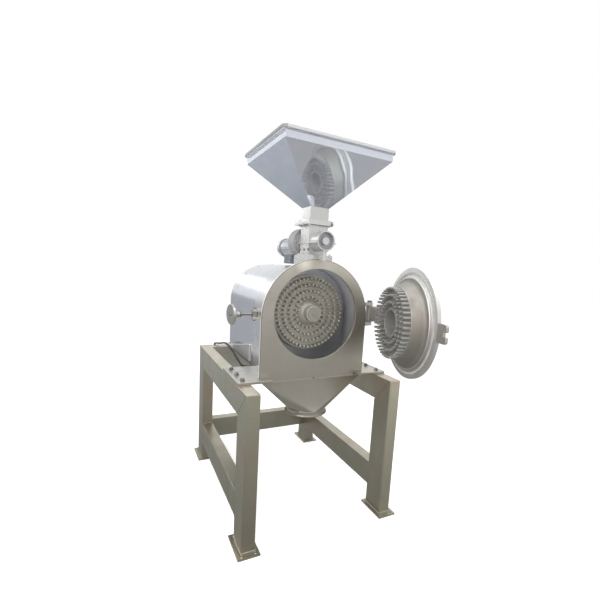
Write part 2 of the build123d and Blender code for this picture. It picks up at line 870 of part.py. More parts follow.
reducer_front = valve_back
drum_front = valve_back + reducer_flange_thick
drum_back = drum_front + reducer_length
shaft_tail = drum_front + reducer_length / 3
star = rod_y(0, valve_z, valve_shaft_radius, shaft_tip, shaft_tail)
vane_out = valve_bore - vane_clear
vane = box(0, vane_out, feed_y - duct_in, feed_y + duct_in, -vane_thick / 2, vane_thick / 2)
for k in range(vane_count):
    star += Pos(0, 0, valve_z) * Rot(0, 360 * (k + 0.5) / vane_count, 0) * vane
save("feeder_rotor", star)

strut_y = valve_front + strut_thick / 2
strut_top = box(-strut_half, strut_half, strut_y, strut_y + strut_thick, arch_z + plate_half_width, valve_z)
strut_low = box(
    -strut_half, strut_half, strut_y, plate_back, arch_z + plate_half_width - strut_foot, arch_z + plate_half_width + strut_foot
)
strut = strut_top + strut_low
strut -= rod_y(0, valve_z, valve_radius, valve_front - 1, valve_back)
strut -= rod_y(0, arch_z, plate_half_width, plate_front, plate_back)
save("feeder_strut", strut)

reducer_face = [
    (valve_shaft_radius + running_fit, reducer_front),
    (reducer_flange_radius, reducer_front),
    (reducer_flange_radius, drum_front),
    (reducer_radius, drum_front),
    (reducer_radius, drum_back - reducer_flange_thick),
    (reducer_flange_radius, drum_back),
    (0, drum_back),
    (0, shaft_tail + free_gap),
    (valve_shaft_radius + running_fit, shaft_tail + free_gap),
]
save("gear_reducer", turned_y(reducer_face, valve_z))

feed_motor_end = drum_back + feed_motor_length
cowl_end = feed_motor_end + feed_cowl_length
cowl_r = feed_motor_radius + feed_cowl_step
feed_motor_face = [
    (0, drum_back),
    (feed_motor_radius, drum_back),
    (feed_motor_radius, feed_motor_end),
    (cowl_r, feed_motor_end),
    (cowl_r, cowl_end - 2 * feed_cowl_step),
    (cowl_r - 2 * feed_cowl_step, cowl_end),
    (0, cowl_end),
]
feed_motor_z = valve_z - feed_motor_drop
feed_motor = turned_y(feed_motor_face, feed_motor_z)
box_y = drum_back + feed_box_length / 3
box_z = feed_motor_z - feed_motor_radius - feed_box_drop
feed_motor += box(-feed_box_half, feed_box_half, box_y, box_y + feed_box_length, box_z, feed_motor_z)
save("feeder_motor", feed_motor)

cradle_y1 = shell_back - reducer_flange_thick
feed_cradle = box(-feed_cradle_half, feed_cradle_half, cradle_y1 - feed_cradle_length, cradle_y1, axis_z, valve_z)
feed_cradle -= rod_y(0, axis_z, shell_radius, plate_front, shell_back)
feed_cradle -= rod_y(0, valve_z, reducer_radius, drum_front, drum_back)
save("feeder_cradle", feed_cradle)

# Slide gate between two flanges, pulled out to the right.
gate_half = duct_half + gate_over
slot_low = gate_height + gate_flange
slot_high = slot_low + gate_thick + 2 * gate_clear
frame_top = slot_high + gate_flange
gate_room = gate_half - gate_rail
frame = box(-gate_half, gate_half, feed_y - gate_half, feed_y + gate_half, gate_height, frame_top)
frame -= box(-duct_in, duct_in, feed_y - duct_in, feed_y + duct_in, gate_height - 1, frame_top + 1)
frame -= box(-gate_room, gate_half + 1, feed_y - gate_room, feed_y + gate_room, slot_low, slot_high)
hook_end = -gate_half - gate_hook
frame += box(hook_end, -gate_half, feed_y, feed_y + gate_half, gate_height, gate_height + gate_thick)
frame += box(
    hook_end, hook_end + gate_thick, feed_y, feed_y + gate_half, gate_height, gate_height + gate_hook_rise
)
save("gate_frame", frame)

leaf_low = slot_low + gate_clear
leaf_mid = leaf_low + gate_thick / 2
leaf_half = gate_room - gate_clear
gate_end = gate_half
gate = box(-leaf_half, gate_end, feed_y - leaf_half, feed_y + leaf_half, leaf_low, leaf_low + gate_thick)
gate += box(gate_end, gate_end + gate_thick, feed_y - knob_radius, feed_y + knob_radius, leaf_low, frame_top)
rod_z_mid = frame_top - gate_flange / 2
gate += rod_x(feed_y, rod_z_mid, gate_rod_radius, gate_end, gate_end + gate_rod_length)
save("slide_gate", gate)

knob_x = gate_end + gate_rod_length
knob_face = face_of([
    (knob_x, 0),
    (knob_x, knob_radius / 2),
    (knob_x + knob_length / 3, knob_radius),
    (knob_x + 2 * knob_length / 3, knob_radius),
    (knob_x + knob_length, knob_radius / 2),
    (knob_x + knob_length, 0),
])
save("gate_knob", Pos(0, feed_y, rod_z_mid) * revolve(knob_face, Axis.X))

# Hopper: square neck, sloped walls, upright band and turned out lip.
neck_top = frame_top + hopper_neck
band_low = neck_top + hopper_slope
rim_z = band_low + hopper_band


def hopper_skin(inset):
    low = duct_half - inset
    high = hopper_half - inset
    neck_a = Pos(0, feed_y, frame_top) * Rectangle(2 * low, 2 * low)
    neck_b = Pos(0, feed_y, neck_top) * Rectangle(2 * low, 2 * low)
    band_a = Pos(0, hopper_y, band_low) * Rectangle(2 * high, 2 * high)
    band_b = Pos(0, hopper_y, rim_z) * Rectangle(2 * high, 2 * high)
    return loft([neck_a, neck_b, band_a, band_b], ruled=True)


lip_half = hopper_half + hopper_lip
lip_low = rim_z - hopper_lip_drop
lip_face = chamfer(Rectangle(2 * lip_half, 2 * lip_half).vertices(), hopper_lip_corner)
lip = Pos(0, hopper_y, lip_low) * extrude(lip_face, hopper_lip_drop)
lip -= Pos(0, hopper_y, lip_low) * extrude(offset(lip_face, -hopper_wall), hopper_lip_drop - hopper_wall)
lip -= box(-hopper_half, hopper_half, hopper_y - hopper_half, hopper_y + hopper_half, band_low, rim_z + 1)
save("hopper", hopper_skin(0) - hopper_skin(hopper_wall) + lip)

# Cable: straight runs joined by tangent arcs, between its two glands.
box_top = stand_height - box_drop + box_height
box_y_mid = half_l + box_depth / 2
gland_top = box_top + gland_length
rib_face = -rib_half_spread
cable_points = [
    (cable_x_box, box_y_mid, gland_top),
    (cable_x_box, box_y_mid, stand_height + cable_rise),
    (cable_x_side, cable_peak_y, stand_height + cable_peak),
    (cable_x_side, cable_end_y, stand_height - cable_under),
    (rib_face - gland_length, cable_end_y, stand_height - cable_under),
]


def cord(points, radius):
    knots = [Vector(*p) for p in points]
    runs = []
    here = knots[0]
    for k in range(1, len(knots) - 1):
        back = knots[k - 1] - knots[k]
        ahead = knots[k + 1] - knots[k]
        reach = 0.45 * min(back.length, ahead.length)
        first = knots[k] + back.normalized() * reach
        second = knots[k] + ahead.normalized() * reach
        runs.append(Line(here, first))
        runs.append(TangentArc(first, second, tangent=back * -1))
        here = second
    runs.append(Line(here, knots[-1]))
    path = Wire(runs)
    start = Plane(origin=knots[0], z_dir=knots[1] - knots[0])
    return sweep(start * Circle(radius), path=path)


save("power_cable", cord(cable_points, cable_radius))

save("junction_box", box(
    cable_x_box - box_half, cable_x_box + box_half, half_l, half_l + box_depth, box_top - box_height, box_top
))
gland_up = Pos(cable_x_box, box_y_mid, box_top + gland_length / 2) * Cone(gland_radius, gland_tip, gland_length)
gland_spot = Pos(rib_face - gland_length / 2, cable_end_y, stand_height - cable_under)
gland_in = gland_spot * Rot(0, -90, 0) * Cone(gland_radius, gland_tip, gland_length)
save("cable_glands", group([gland_up, gland_in]))
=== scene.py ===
import json
import math

import bmesh
import bpy
from mathutils import Matrix, Vector


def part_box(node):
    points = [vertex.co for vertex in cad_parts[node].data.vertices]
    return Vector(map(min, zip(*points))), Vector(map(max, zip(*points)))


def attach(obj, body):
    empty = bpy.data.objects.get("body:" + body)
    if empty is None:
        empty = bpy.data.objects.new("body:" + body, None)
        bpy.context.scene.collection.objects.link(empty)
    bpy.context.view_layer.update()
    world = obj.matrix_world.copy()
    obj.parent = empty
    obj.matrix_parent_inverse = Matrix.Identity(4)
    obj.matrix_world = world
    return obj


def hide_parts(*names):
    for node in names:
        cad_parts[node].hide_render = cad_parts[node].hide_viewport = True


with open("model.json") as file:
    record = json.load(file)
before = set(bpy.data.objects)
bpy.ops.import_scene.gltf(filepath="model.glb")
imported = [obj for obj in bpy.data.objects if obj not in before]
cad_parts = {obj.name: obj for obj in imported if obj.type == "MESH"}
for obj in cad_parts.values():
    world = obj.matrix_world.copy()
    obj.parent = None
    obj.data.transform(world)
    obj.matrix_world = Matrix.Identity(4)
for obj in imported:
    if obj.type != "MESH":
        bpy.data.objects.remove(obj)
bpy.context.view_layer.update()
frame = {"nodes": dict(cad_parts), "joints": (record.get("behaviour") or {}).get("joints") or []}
nodes = frame["nodes"]
scene = bpy.context.scene
scene.view_settings.view_transform = "Standard"

# The photographer stands a little left of the machine and looks at the open door.
# The lens, its place and its tilt were solved from the edges of the stand.
look_from = (-0.8077, -1.9127, 1.2048)
look_turn = math.radians(28.67)
look_down = math.radians(8.36)
look_roll = math.radians(3.72)
ahead = Vector((
    math.sin(look_turn) * math.cos(look_down),
    math.cos(look_turn) * math.cos(look_down),
    -math.sin(look_down),
))
level = Vector((math.cos(look_turn), -math.sin(look_turn), 0))
upward = level.cross(ahead)
right = level * math.cos(look_roll) + upward * math.sin(look_roll)
top = upward * math.cos(look_roll) - level * math.sin(look_roll)
lens = bpy.data.cameras.new("camera")
lens.sensor_width = 36
lens.lens = 22.918
lens.shift_x = -0.0467
lens.shift_y = 0.0451
lens.clip_end = 100
camera = bpy.data.objects.new("camera", lens)
scene.collection.objects.link(camera)
gaze = Matrix((right, top, -ahead)).transposed().to_4x4()
camera.matrix_world = Matrix.Translation(look_from) @ gaze
scene.camera = camera


# Black rubber sheathed cable of the main motor. It leaves the junction box behind the
# rear rail, hangs over the rail and goes under the motor base into a gland on its rib.
def add(tree, kind, wires=None, values=None, **settings):
    item = tree.nodes.new(kind)
    for key, value in settings.items():
        setattr(item, key, value)
    for key, value in (values or {}).items():
        item.inputs[key].default_value = value
    for key, source in (wires or {}).items():
        tree.links.new(source, item.inputs[key])
    return item


def fresh(name):
    finish = bpy.data.materials.new(name)
    finish.use_nodes = True
    return finish, finish.node_tree, finish.node_tree.nodes["Principled BSDF"]


def moulded(name, dark, pale, rough, scale, bump):
    finish, tree, shader = fresh(name)
    shader.inputs["Specular IOR Level"].default_value = 0.35
    place = add(tree, "ShaderNodeTexCoord").outputs["Object"]
    scuff = add(tree, "ShaderNodeTexNoise", {"Vector": place}, {"Scale": scale, "Detail": 6})
    dusty = add(tree, "ShaderNodeValToRGB", {"Fac": scuff.outputs["Fac"]})
    dusty.color_ramp.elements[0].position = 0.3
    dusty.color_ramp.elements[0].color = (*dark, 1)
    dusty.color_ramp.elements[1].position = 0.8
    dusty.color_ramp.elements[1].color = (*pale, 1)
    tree.links.new(dusty.outputs["Color"], shader.inputs["Base Color"])
    wear = add(
        tree,
        "ShaderNodeMapRange",
        {"Value": scuff.outputs["Fac"]},
        {"To Min": rough[0], "To Max": rough[1]},
    )
    tree.links.new(wear.outputs["Result"], shader.inputs["Roughness"])
    fine = add(tree, "ShaderNodeTexNoise", {"Vector": place}, {"Scale": scale * 9, "Detail": 3})
    skin = add(
        tree, "ShaderNodeBump", {"Height": fine.outputs["Fac"]}, {"Strength": bump, "Distance": 0.0004}
    )
    tree.links.new(skin.outputs["Normal"], shader.inputs["Normal"])
    return finish


sheath = moulded(
    "cable_sheath", (0.010, 0.010, 0.011), (0.05, 0.048, 0.045), rough=(0.42, 0.66), scale=90, bump=0.25
)
cable_across = 0.0105
cable_path = [
    (-0.296, 0.525, 0.647),
    (-0.296, 0.528, 0.707),
    (-0.278, 0.458, 0.7145),
    (-0.264, 0.300, 0.753),
    (-0.260, 0.0558, 0.6965),
    (-0.264, -0.036, 0.686),
    (-0.172, -0.030, 0.688),
]
line = bpy.data.curves.new("power_cable_line", "CURVE")
line.dimensions = "3D"
line.bevel_depth = cable_across / 2
line.bevel_resolution = 5
line.use_fill_caps = True
spline = line.splines.new("NURBS")
spline.points.add(len(cable_path) - 1)
for point, spot in zip(spline.points, cable_path):
    point.co = (*spot, 1)
spline.order_u = 3
spline.use_endpoint_u = True
spline.resolution_u = 24
line.materials.append(sheath)
cable = bpy.data.objects.new("cable_sheath_run", line)
scene.collection.objects.link(cable)
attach(cable, "stand")
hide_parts("power_cable")


# White studio: a white sky and a white floor that keeps the shadow. Grey cloths lie on the
# floor and hang in front and far back on the left. The camera doesn't see them, only the
# steel does, so that it mirrors a workshop.
def reckon(tree, operation, *terms, kind="ShaderNodeMath"):
    step = add(tree, kind, operation=operation)
    for socket, term in zip([socket for socket in step.inputs if socket.enabled], terms):
        if isinstance(term, bpy.types.NodeSocket):
            tree.links.new(term, socket)
        else:
            socket.default_value = term
    return next(socket for socket in step.outputs if socket.enabled)


def reckon_vector(tree, operation, *terms):
    return reckon(tree, operation, *terms, kind="ShaderNodeVectorMath")


def seen_as_white(tree):
    path = add(tree, "ShaderNodeLightPath").outputs
    shiny = reckon(tree, "MAXIMUM", path["Is Camera Ray"], path["Is Glossy Ray"])
    return reckon(tree, "MAXIMUM", shiny, path["Is Transmission Ray"])


sky = bpy.data.worlds.new("studio")
scene.world = sky
sky.use_nodes = True
tree = sky.node_tree
tree.nodes.clear()
white = add(tree, "ShaderNodeBackground", None, {"Color": (1, 1, 1, 1)})
ambient = add(tree, "ShaderNodeBackground", None, {"Color": (0.95, 0.97, 1, 1), "Strength": 0.45})
choose = add(
    tree, "ShaderNodeMixShader", {"Fac": seen_as_white(tree), 1: ambient.outputs[0], 2: white.outputs[0]}
)
add(tree, "ShaderNodeOutputWorld", {"Surface": choose.outputs[0]})


def card(name, width, height, place, turn):
    sheet = bpy.data.meshes.new(name)
    half_w = width / 2
    half_h = height / 2
    sheet.from_pydata(
        [(-half_w, -half_h, 0), (half_w, -half_h, 0), (half_w, half_h, 0), (-half_w, half_h, 0)],
        [],
        [(0, 1, 2, 3)],
    )
    board = bpy.data.objects.new(name, sheet)
    scene.collection.objects.link(board)
    board.matrix_world = Matrix.Translation(place) @ turn.to_4x4()
    return board


floor_paint, tree = fresh("floor_white")[:2]
tree.nodes.clear()
matt = add(tree, "ShaderNodeBsdfDiffuse", None, {"Color": (0.85, 0.85, 0.85, 1)})
glow = add(tree, "ShaderNodeEmission", None, {"Strength": 0.66})
both = add(tree, "ShaderNodeAddShader", {0: matt.outputs[0], 1: glow.outputs[0]})
plain = add(
    tree, "ShaderNodeMixShader", {"Fac": seen_as_white(tree), 1: matt.outputs[0], 2: both.outputs[0]}
)
add(tree, "ShaderNodeOutputMaterial", {"Surface": plain.outputs[0]})
lying = Matrix.Identity(3)
floor = card("floor", 60, 60, (0, 0, 0), lying)
floor.data.materials.append(floor_paint)


def flag_cloth(name, centre, near, far, near_glow, far_glow, front, rear):
    cloth, tree = fresh(name)[:2]
    tree.nodes.clear()
    place = add(tree, "ShaderNodeTexCoord").outputs["Object"]
    fade = add(
        tree,
        "ShaderNodeMapRange",
        {"Value": reckon_vector(tree, "DISTANCE", place, centre)},
        {"From Min": near, "From Max": far, "To Min": near_glow, "To Max": far_glow},
    )
    depth = add(tree, "ShaderNodeSeparateXYZ", {0: place}).outputs["Y"]
    back = add(tree, "ShaderNodeMapRange", {"Value": depth}, {"From Min": -0.5, "From Max": 2.0})
    colour = add(
        tree,
        "ShaderNodeMix",
        {"Factor": back.outputs["Result"]},
        {"A": (*front, 1), "B": (*rear, 1)},
        data_type="RGBA",
    )
    drab = add(
        tree,
        "ShaderNodeEmission",
        {"Strength": fade.outputs["Result"], "Color": colour.outputs["Result"]},
    )
    add(tree, "ShaderNodeOutputMaterial", {"Surface": drab.outputs[0]})
    return cloth


# The ground cloth glows dimmer near the machine: a painted shadow in what the steel mirrors.
ground = flag_cloth(
    "ground_cloth",
    (-0.6, -0.6, 0),
    near=0.4, far=7, near_glow=0.33, far_glow=0.60,
    front=(1.0, 0.985, 0.94), rear=(0.91, 0.95, 1.0),
)
warm_white = (1.0, 0.995, 0.98)
cool_grey = (0.93, 0.96, 1.0)
screen = flag_cloth("screen_cloth", (0, 0, 0), 0, 4, 0.86, 0.86, warm_white, warm_white)
drape = flag_cloth("drape_cloth", (0, 0, 0), 0, 4, 0.46, 0.46, cool_grey, cool_grey)
hanging = Matrix.Rotation(math.radians(90), 3, "X")
to_left = Matrix.Rotation(math.radians(27), 3, "Z") @ hanging
for name, width, height, place, turn, cloth in (
    ("ground_flag", 24, 24, (0, 0, 0.003), lying, ground),
    ("front_flag", 24, 5.0, (0, -6.5, 2.5), hanging, screen),
    ("left_flag", 7, 1.16, (-2.07, 3.56, 0.58), to_left, drape),
):
    flag = card(name, width, height, place, turn)
    flag.data.materials.append(cloth)
    flag.visible_camera = False
    flag.visible_diffuse = False
    flag.visible_shadow = False
    flag.visible_transmission = False


def softbox(name, place, aim, size, power, colour):
    lamp = bpy.data.lights.new(name, "AREA")
    lamp.shape = "RECTANGLE"
    lamp.size = size[0]
    lamp.size_y = size[1]
    lamp.energy = power
    lamp.color = colour
    rig = bpy.data.objects.new(name, lamp)
    scene.collection.objects.link(rig)
    rig.location = place
    rig.rotation_euler = (Vector(aim) - Vector(place)).to_track_quat("-Z", "Y").to_euler()
    return rig


for name, place, aim, size, power, colour in (
    ("key_left", (-3.4, -2.2, 3.2), (0, -0.2, 0.9), (2.6, 2.6), 110, (1, 0.98, 0.94)),
    ("top_light", (0.2, -0.6, 4.2), (0, -0.2, 0.9), (3, 3), 80, (1, 1, 1)),
    ("back_left", (-1.6, 4.3, 2.4), (0, 0, 1), (2.4, 0.8), 9, (0.96, 0.98, 1)),
):
    softbox(name, place, aim, size, power, colour)
fill = softbox("fill_front", (0.8, -4.2, 1.6), (0, -0.3, 0.9), (2.4, 2.4), 40, (1, 0.97, 0.92))
fill.visible_glossy = False


# Stand of rectangular stainless tube, mitred at the top corners, welded and brushed along
# each tube. Four flat foot plates are welded under the legs with a fillet all round.
def lathe_radius(tree, place, lathe):
    centre, turn, across = lathe
    spun = add(
        tree,
        "ShaderNodeMapping",
        {"Vector": place},
        {"Location": centre, "Rotation": (0, 0, turn)},
        vector_type="TEXTURE",
    )
    flat = reckon_vector(tree, "MULTIPLY", spun.outputs[0], across)
    return reckon_vector(tree, "LENGTH", flat)


def steel(
    name, colour, shade, rough, grain,
    bump=0.12, lathe=None, wave=0.0, swell=5.5, stain=0.35, metallic=1.0,
):
    metal, tree, shader = fresh(name)
    shader.inputs["Metallic"].default_value = metallic
    place = add(tree, "ShaderNodeTexCoord").outputs["Object"]
    if lathe:
        rings = reckon(tree, "MULTIPLY", lathe_radius(tree, place, lathe), grain)
        lines = add(
            tree,
            "ShaderNodeTexNoise",
            {"W": rings},
            {"Scale": 1, "Detail": 5, "Roughness": 0.75},
            noise_dimensions="1D",
        )
    else:
        stretch = add(tree, "ShaderNodeMapping", {"Vector": place}, {"Scale": grain})
        lines = add(
            tree,
            "ShaderNodeTexNoise",
            {"Vector": stretch.outputs["Vector"]},
            {"Scale": 1, "Detail": 5, "Roughness": 0.7},
        )
    smudge = add(
        tree,
        "ShaderNodeTexNoise",
        {"Vector": place},
        {"Scale": 7, "Detail": 6, "Roughness": 0.62, "Distortion": 0.6},
    )
    blend = reckon(tree, "MULTIPLY_ADD", lines.outputs["Fac"], 0.45, smudge.outputs["Fac"])
    tone = add(
        tree, "ShaderNodeMix", {"Factor": blend}, {"A": (*shade, 1), "B": (*colour, 1)}, data_type="RGBA"
    )
    drift = add(
        tree, "ShaderNodeTexNoise", {"Vector": place}, {"Scale": 4.3, "Detail": 3, "Distortion": 1.2}
    )
    hue = add(tree, "ShaderNodeValToRGB", {"Fac": drift.outputs["Fac"]})
    hue.color_ramp.elements[0].position = 0.34
    hue.color_ramp.elements[0].color = (1.0, 0.91, 0.90, 1)
    hue.color_ramp.elements[1].position = 0.66
    hue.color_ramp.elements[1].color = (0.93, 0.99, 0.93, 1)
    middle = hue.color_ramp.elements.new(0.5)
    middle.color = (1, 1, 1, 1)
    tinted = add(
        tree,
        "ShaderNodeMix",
        {"A": tone.outputs["Result"], "B": hue.outputs["Color"]},
        {"Factor": stain},
        data_type="RGBA",
        blend_type="MULTIPLY",
    )
    tree.links.new(tinted.outputs["Result"], shader.inputs["Base Color"])
    dull = add(
        tree,
        "ShaderNodeMapRange",
        {"Value": blend},
        {"From Min": 0.45, "From Max": 0.95, "To Min": rough * 1.25, "To Max": rough * 0.8},
    )
    tree.links.new(dull.outputs["Result"], shader.inputs["Roughness"])
    groove = add(
        tree, "ShaderNodeBump", {"Height": lines.outputs["Fac"]}, {"Strength": bump, "Distance": 0.0005}
    )
    if wave:
        dent = add(tree, "ShaderNodeTexNoise", {"Vector": place}, {"Scale": swell, "Detail": 1})
        sheet = add(
            tree, "ShaderNodeBump", {"Height": dent.outputs["Fac"]}, {"Strength": 1.0, "Distance": wave}
        )
        tree.links.new(sheet.outputs["Normal"], groove.inputs["Normal"])
    tree.links.new(groove.outputs["Normal"], shader.inputs["Normal"])
    return metal


def soften(piece, edge, rounds, limit):
    piece.data.polygons.foreach_set("use_smooth", [True] * len(piece.data.polygons))
    if edge:
        bevel = piece.modifiers.new("edge", "BEVEL")
        bevel.width = edge
        bevel.segments = rounds
        bevel.limit_method = "ANGLE"
        bevel.angle_limit = math.radians(limit)
    normals = piece.modifiers.new("normals", "WEIGHTED_NORMAL")
    normals.weight = 50


def dress(node, metal, edge, rounds=2):
    piece = nodes[node]
    piece.data.materials.clear()
    piece.data.materials.append(metal)
    weld = piece.modifiers.new("weld", "WELD")
    weld.merge_threshold = 0.00002
    soften(piece, edge, rounds, limit=33)
    return piece


def scale_colour(metal, measure, first, last):
    tree = metal.node_tree
    place = add(tree, "ShaderNodeTexCoord").outputs["Object"]
    amount = add(
        tree,
        "ShaderNodeMapRange",
        {"Value": measure(tree, place)},
        {"From Min": first[0], "From Max": last[0], "To Min": first[1], "To Max": last[1]},
    )
    base = tree.nodes["Principled BSDF"].inputs["Base Color"]
    scaled = reckon_vector(tree, "SCALE", base.links[0].from_socket, amount.outputs["Result"])
    tree.links.new(scaled, base)


def leaning(along):
    return lambda tree, place: reckon_vector(tree, "DOT_PRODUCT", place, along)


tube_warm = (0.53, 0.502, 0.415)
tube_shade = (0.352, 0.332, 0.268)
tube_corner = 0.004
tubes = []
# All three tube finishes are painted darker towards the floor and lighter towards the top: painted shade
# low down.
for way, grain in (("upright", (420, 420, 5)), ("long", (420, 5, 420)), ("cross", (5, 420, 420))):
    metal = steel("tube_brushed_" + way, tube_warm, tube_shade, rough=0.36, grain=grain, stain=0.8)
    scale_colour(metal, leaning((0, 0, 1)), (0.1, 0.86), (0.66, 1.16))
    tubes.append(metal)
tube_up, tube_long, tube_cross = tubes
# The uprights are also painted lighter towards the right and the front: painted light.
scale_colour(tube_up, leaning((1, -1, 0)), (0.815, 1.0), (0.84, 1.3))
for node in ("front_left_leg", "front_right_leg", "rear_left_leg", "rear_right_leg"):
    dress(node, tube_up, edge=tube_corner, rounds=3)
for node in ("left_top_rail", "right_top_rail", "left_lower_rail", "right_lower_rail"):
    dress(node, tube_long, edge=tube_corner, rounds=3)
for node in ("rear_top_rail", "rear_lower_rail"):
    dress(node, tube_cross, edge=tube_corner, rounds=3)
dress("foot_plates", tube_long, edge=0.0015)


def plan_tree(name, *sizes):
    tree = bpy.data.node_groups.new(name, "GeometryNodeTree")
    tree.interface.new_socket("Geometry", in_out="INPUT", socket_type="NodeSocketGeometry")
    tree.interface.new_socket("Geometry", in_out="OUTPUT", socket_type="NodeSocketGeometry")
    for label, kind in sizes:
        tree.interface.new_socket(label, in_out="INPUT", socket_type="NodeSocket" + kind)
    tree.interface.new_socket("Finish", in_out="INPUT", socket_type="NodeSocketMaterial")
    return tree, add(tree, "NodeGroupInput").outputs


def close_tree(tree, entry, shape):
    solid = add(tree, "GeometryNodeRealizeInstances", {"Geometry": shape})
    coated = add(
        tree, "GeometryNodeSetMaterial", {"Geometry": solid.outputs[0], "Material": entry["Finish"]}
    )
    add(tree, "NodeGroupOutput", {0: coated.outputs[0]})


def grow(
    name, tree, sizes, spots, runs=(), body="stand", stands_for=(), crease=38
):
    seed = bpy.data.meshes.new(name)
    seed.from_pydata(spots, runs, [])
    piece = bpy.data.objects.new(name, seed)
    scene.collection.objects.link(piece)
    maker = piece.modifiers.new("make", "NODES")
    maker.node_group = tree
    for item in tree.interface.items_tree:
        if item.in_out == "INPUT" and item.name in sizes:
            maker[item.identifier] = sizes[item.name]
    settled = piece.evaluated_get(bpy.context.evaluated_depsgraph_get())
    made = bpy.data.meshes.new_from_object(settled)
    piece.modifiers.remove(maker)
    piece.data = made
    made.polygons.foreach_set("use_smooth", [True] * len(made.polygons))
    made.set_sharp_from_angle(angle=math.radians(crease))
    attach(piece, body)
    if stands_for:
        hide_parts(*stands_for)
    return piece


weld_bead, entry = plan_tree(
    "weld_bead", ("Step", "Float"), ("Bead", "Float"), ("Spread", "Float"), ("Seed", "Int")
)
route = add(weld_bead, "GeometryNodeMeshToCurve", {0: entry["Geometry"]})
marks = add(
    weld_bead, "GeometryNodeResampleCurve", {0: route.outputs[0], "Length": entry["Step"]}, mode="LENGTH"
)
drop = add(weld_bead, "GeometryNodeMeshIcoSphere", {"Radius": entry["Bead"]}, {"Subdivisions": 1})
along = add(weld_bead, "GeometryNodeInputTangent")
aim = add(weld_bead, "FunctionNodeAlignRotationToVector", {"Vector": along.outputs[0]}, axis="X")
most = reckon(weld_bead, "ADD", entry["Spread"], 1.0)
least = reckon(weld_bead, "SUBTRACT", 1.0, entry["Spread"])
uneven = add(
    weld_bead, "FunctionNodeRandomValue", {2: least, 3: most, "Seed": entry["Seed"]}, data_type="FLOAT"
)
beads = add(
    weld_bead,
    "GeometryNodeInstanceOnPoints",
    {
        "Points": marks.outputs[0],
        "Instance": drop.outputs[0],
        "Rotation": aim.outputs[0],
        "Scale": uneven.outputs[1],
    },
)
close_tree(weld_bead, entry, beads.outputs[0])

weld_grey = steel(
    "weld_grey", (0.42, 0.40, 0.37), (0.24, 0.23, 0.21), rough=0.4, grain=(300, 300, 300), bump=0.3
)
tube_half_x = 0.030
tube_half_y = 0.060
leg_x = 0.3525
leg_y = 0.445
foot_top = 0.010
rail_end = 0.385
rail_bottom = 0.110
rail_top = 0.230
bead_out = 0.0012
bead_toe = 0.0015
bead_inset = 0.002
bead_sink = 0.0002
spots = []
runs = []
for mid_x in (-leg_x, leg_x):
    for mid_y in (-leg_y, leg_y):
        start = len(spots)
        for sx, sy in ((-1, -1), (1, -1), (1, 1), (-1, 1)):
            x = mid_x + sx * (tube_half_x + bead_out)
            y = mid_y + sy * (tube_half_y + bead_out)
            spots.append((x, y, foot_top + bead_out))
        runs += [(start + k, start + (k + 1) % 4) for k in range(4)]
for mid_x in (-leg_x, leg_x):
    near_x = mid_x - tube_half_x + bead_inset
    far_x = mid_x + tube_half_x - bead_inset
    under = rail_bottom - bead_toe
    over = rail_top + bead_toe
    for y in (bead_sink - rail_end, rail_end - bead_sink):
        start = len(spots)
        spots += [(near_x, y, under), (far_x, y, under), (far_x, y, over), (near_x, y, over)]
        runs += [(start, start + 1), (start + 2, start + 3)]
grow(
    "stand_welds",
    weld_bead,
    {"Step": 0.0042, "Bead": 0.0036, "Spread": 0.16, "Seed": 4, "Finish": weld_grey},
    spots,
    runs,
    crease=180,
)

# Mount plates of the same stainless, welded to the mill and bolted to the side rails with
# six hexagon head screws on plain washers.
plate_satin = steel(
    "plate_satin", (0.54, 0.52, 0.465), (0.38, 0.365, 0.33), rough=0.34, grain=(5, 420, 420)
)
for node in ("left_mount_plate", "right_mount_plate"):
    dress(node, plate_satin, edge=0.0015)
bolt_steel = steel(
    "bolt_steel", (0.30, 0.29, 0.28), (0.15, 0.15, 0.15), rough=0.42, grain=(160, 160, 160), bump=0.2
)


def lifted(tree, shape, height):
    shift = add(tree, "ShaderNodeCombineXYZ", {"Z": height})
    return add(
        tree, "GeometryNodeTransform", {"Geometry": shape.outputs[0], "Translation": shift.outputs[0]}
    )


hex_bolt, entry = plan_tree(
    "hex_bolt",
    ("Head radius", "Float"),
    ("Head height", "Float"),
    ("Washer radius", "Float"),
    ("Washer height", "Float"),
    ("Facing", "Vector"),
    ("Centre", "Vector"),
    ("Radial", "Float"),
    ("Seed", "Int"),
)
washer = add(
    hex_bolt,
    "GeometryNodeMeshCylinder",
    {"Radius": entry["Washer radius"], "Depth": entry["Washer height"]},
    {"Vertices": 20},
)
head = add(
    hex_bolt,
    "GeometryNodeMeshCylinder",
    {"Radius": entry["Head radius"], "Depth": entry["Head height"]},
    {"Vertices": 6},
)
crown = add(
    hex_bolt,
    "GeometryNodeMeshCone",
    {
        "Radius Bottom": reckon(hex_bolt, "MULTIPLY", entry["Head radius"], 0.86),
        "Radius Top": reckon(hex_bolt, "MULTIPLY", entry["Head radius"], 0.70),
        "Depth": reckon(hex_bolt, "MULTIPLY", entry["Head height"], 0.16),
    },
    {"Vertices": 16},
)
raised = lifted(hex_bolt, head, reckon(hex_bolt, "MULTIPLY", entry["Head height"], 0.5))
capped = lifted(hex_bolt, crown, entry["Head height"])
whole = add(hex_bolt, "GeometryNodeJoinGeometry")
for part in (washer, raised, capped):
    hex_bolt.links.new(part.outputs[0], whole.inputs[0])
where = add(hex_bolt, "GeometryNodeInputPosition").outputs[0]
arm = reckon_vector(hex_bolt, "SUBTRACT", where, entry["Centre"])
flat_arm = reckon_vector(hex_bolt, "MULTIPLY", arm, (1, 0, 1))
share = reckon_vector(hex_bolt, "SCALE", flat_arm, entry["Radial"])
heading = reckon_vector(hex_bolt, "ADD", share, entry["Facing"])
point_out = add(hex_bolt, "FunctionNodeAlignRotationToVector", {"Vector": heading}, axis="Z")
chance = add(
    hex_bolt, "FunctionNodeRandomValue", {"Seed": entry["Seed"]}, {2: 0.0, 3: 1.05}, data_type="FLOAT"
)
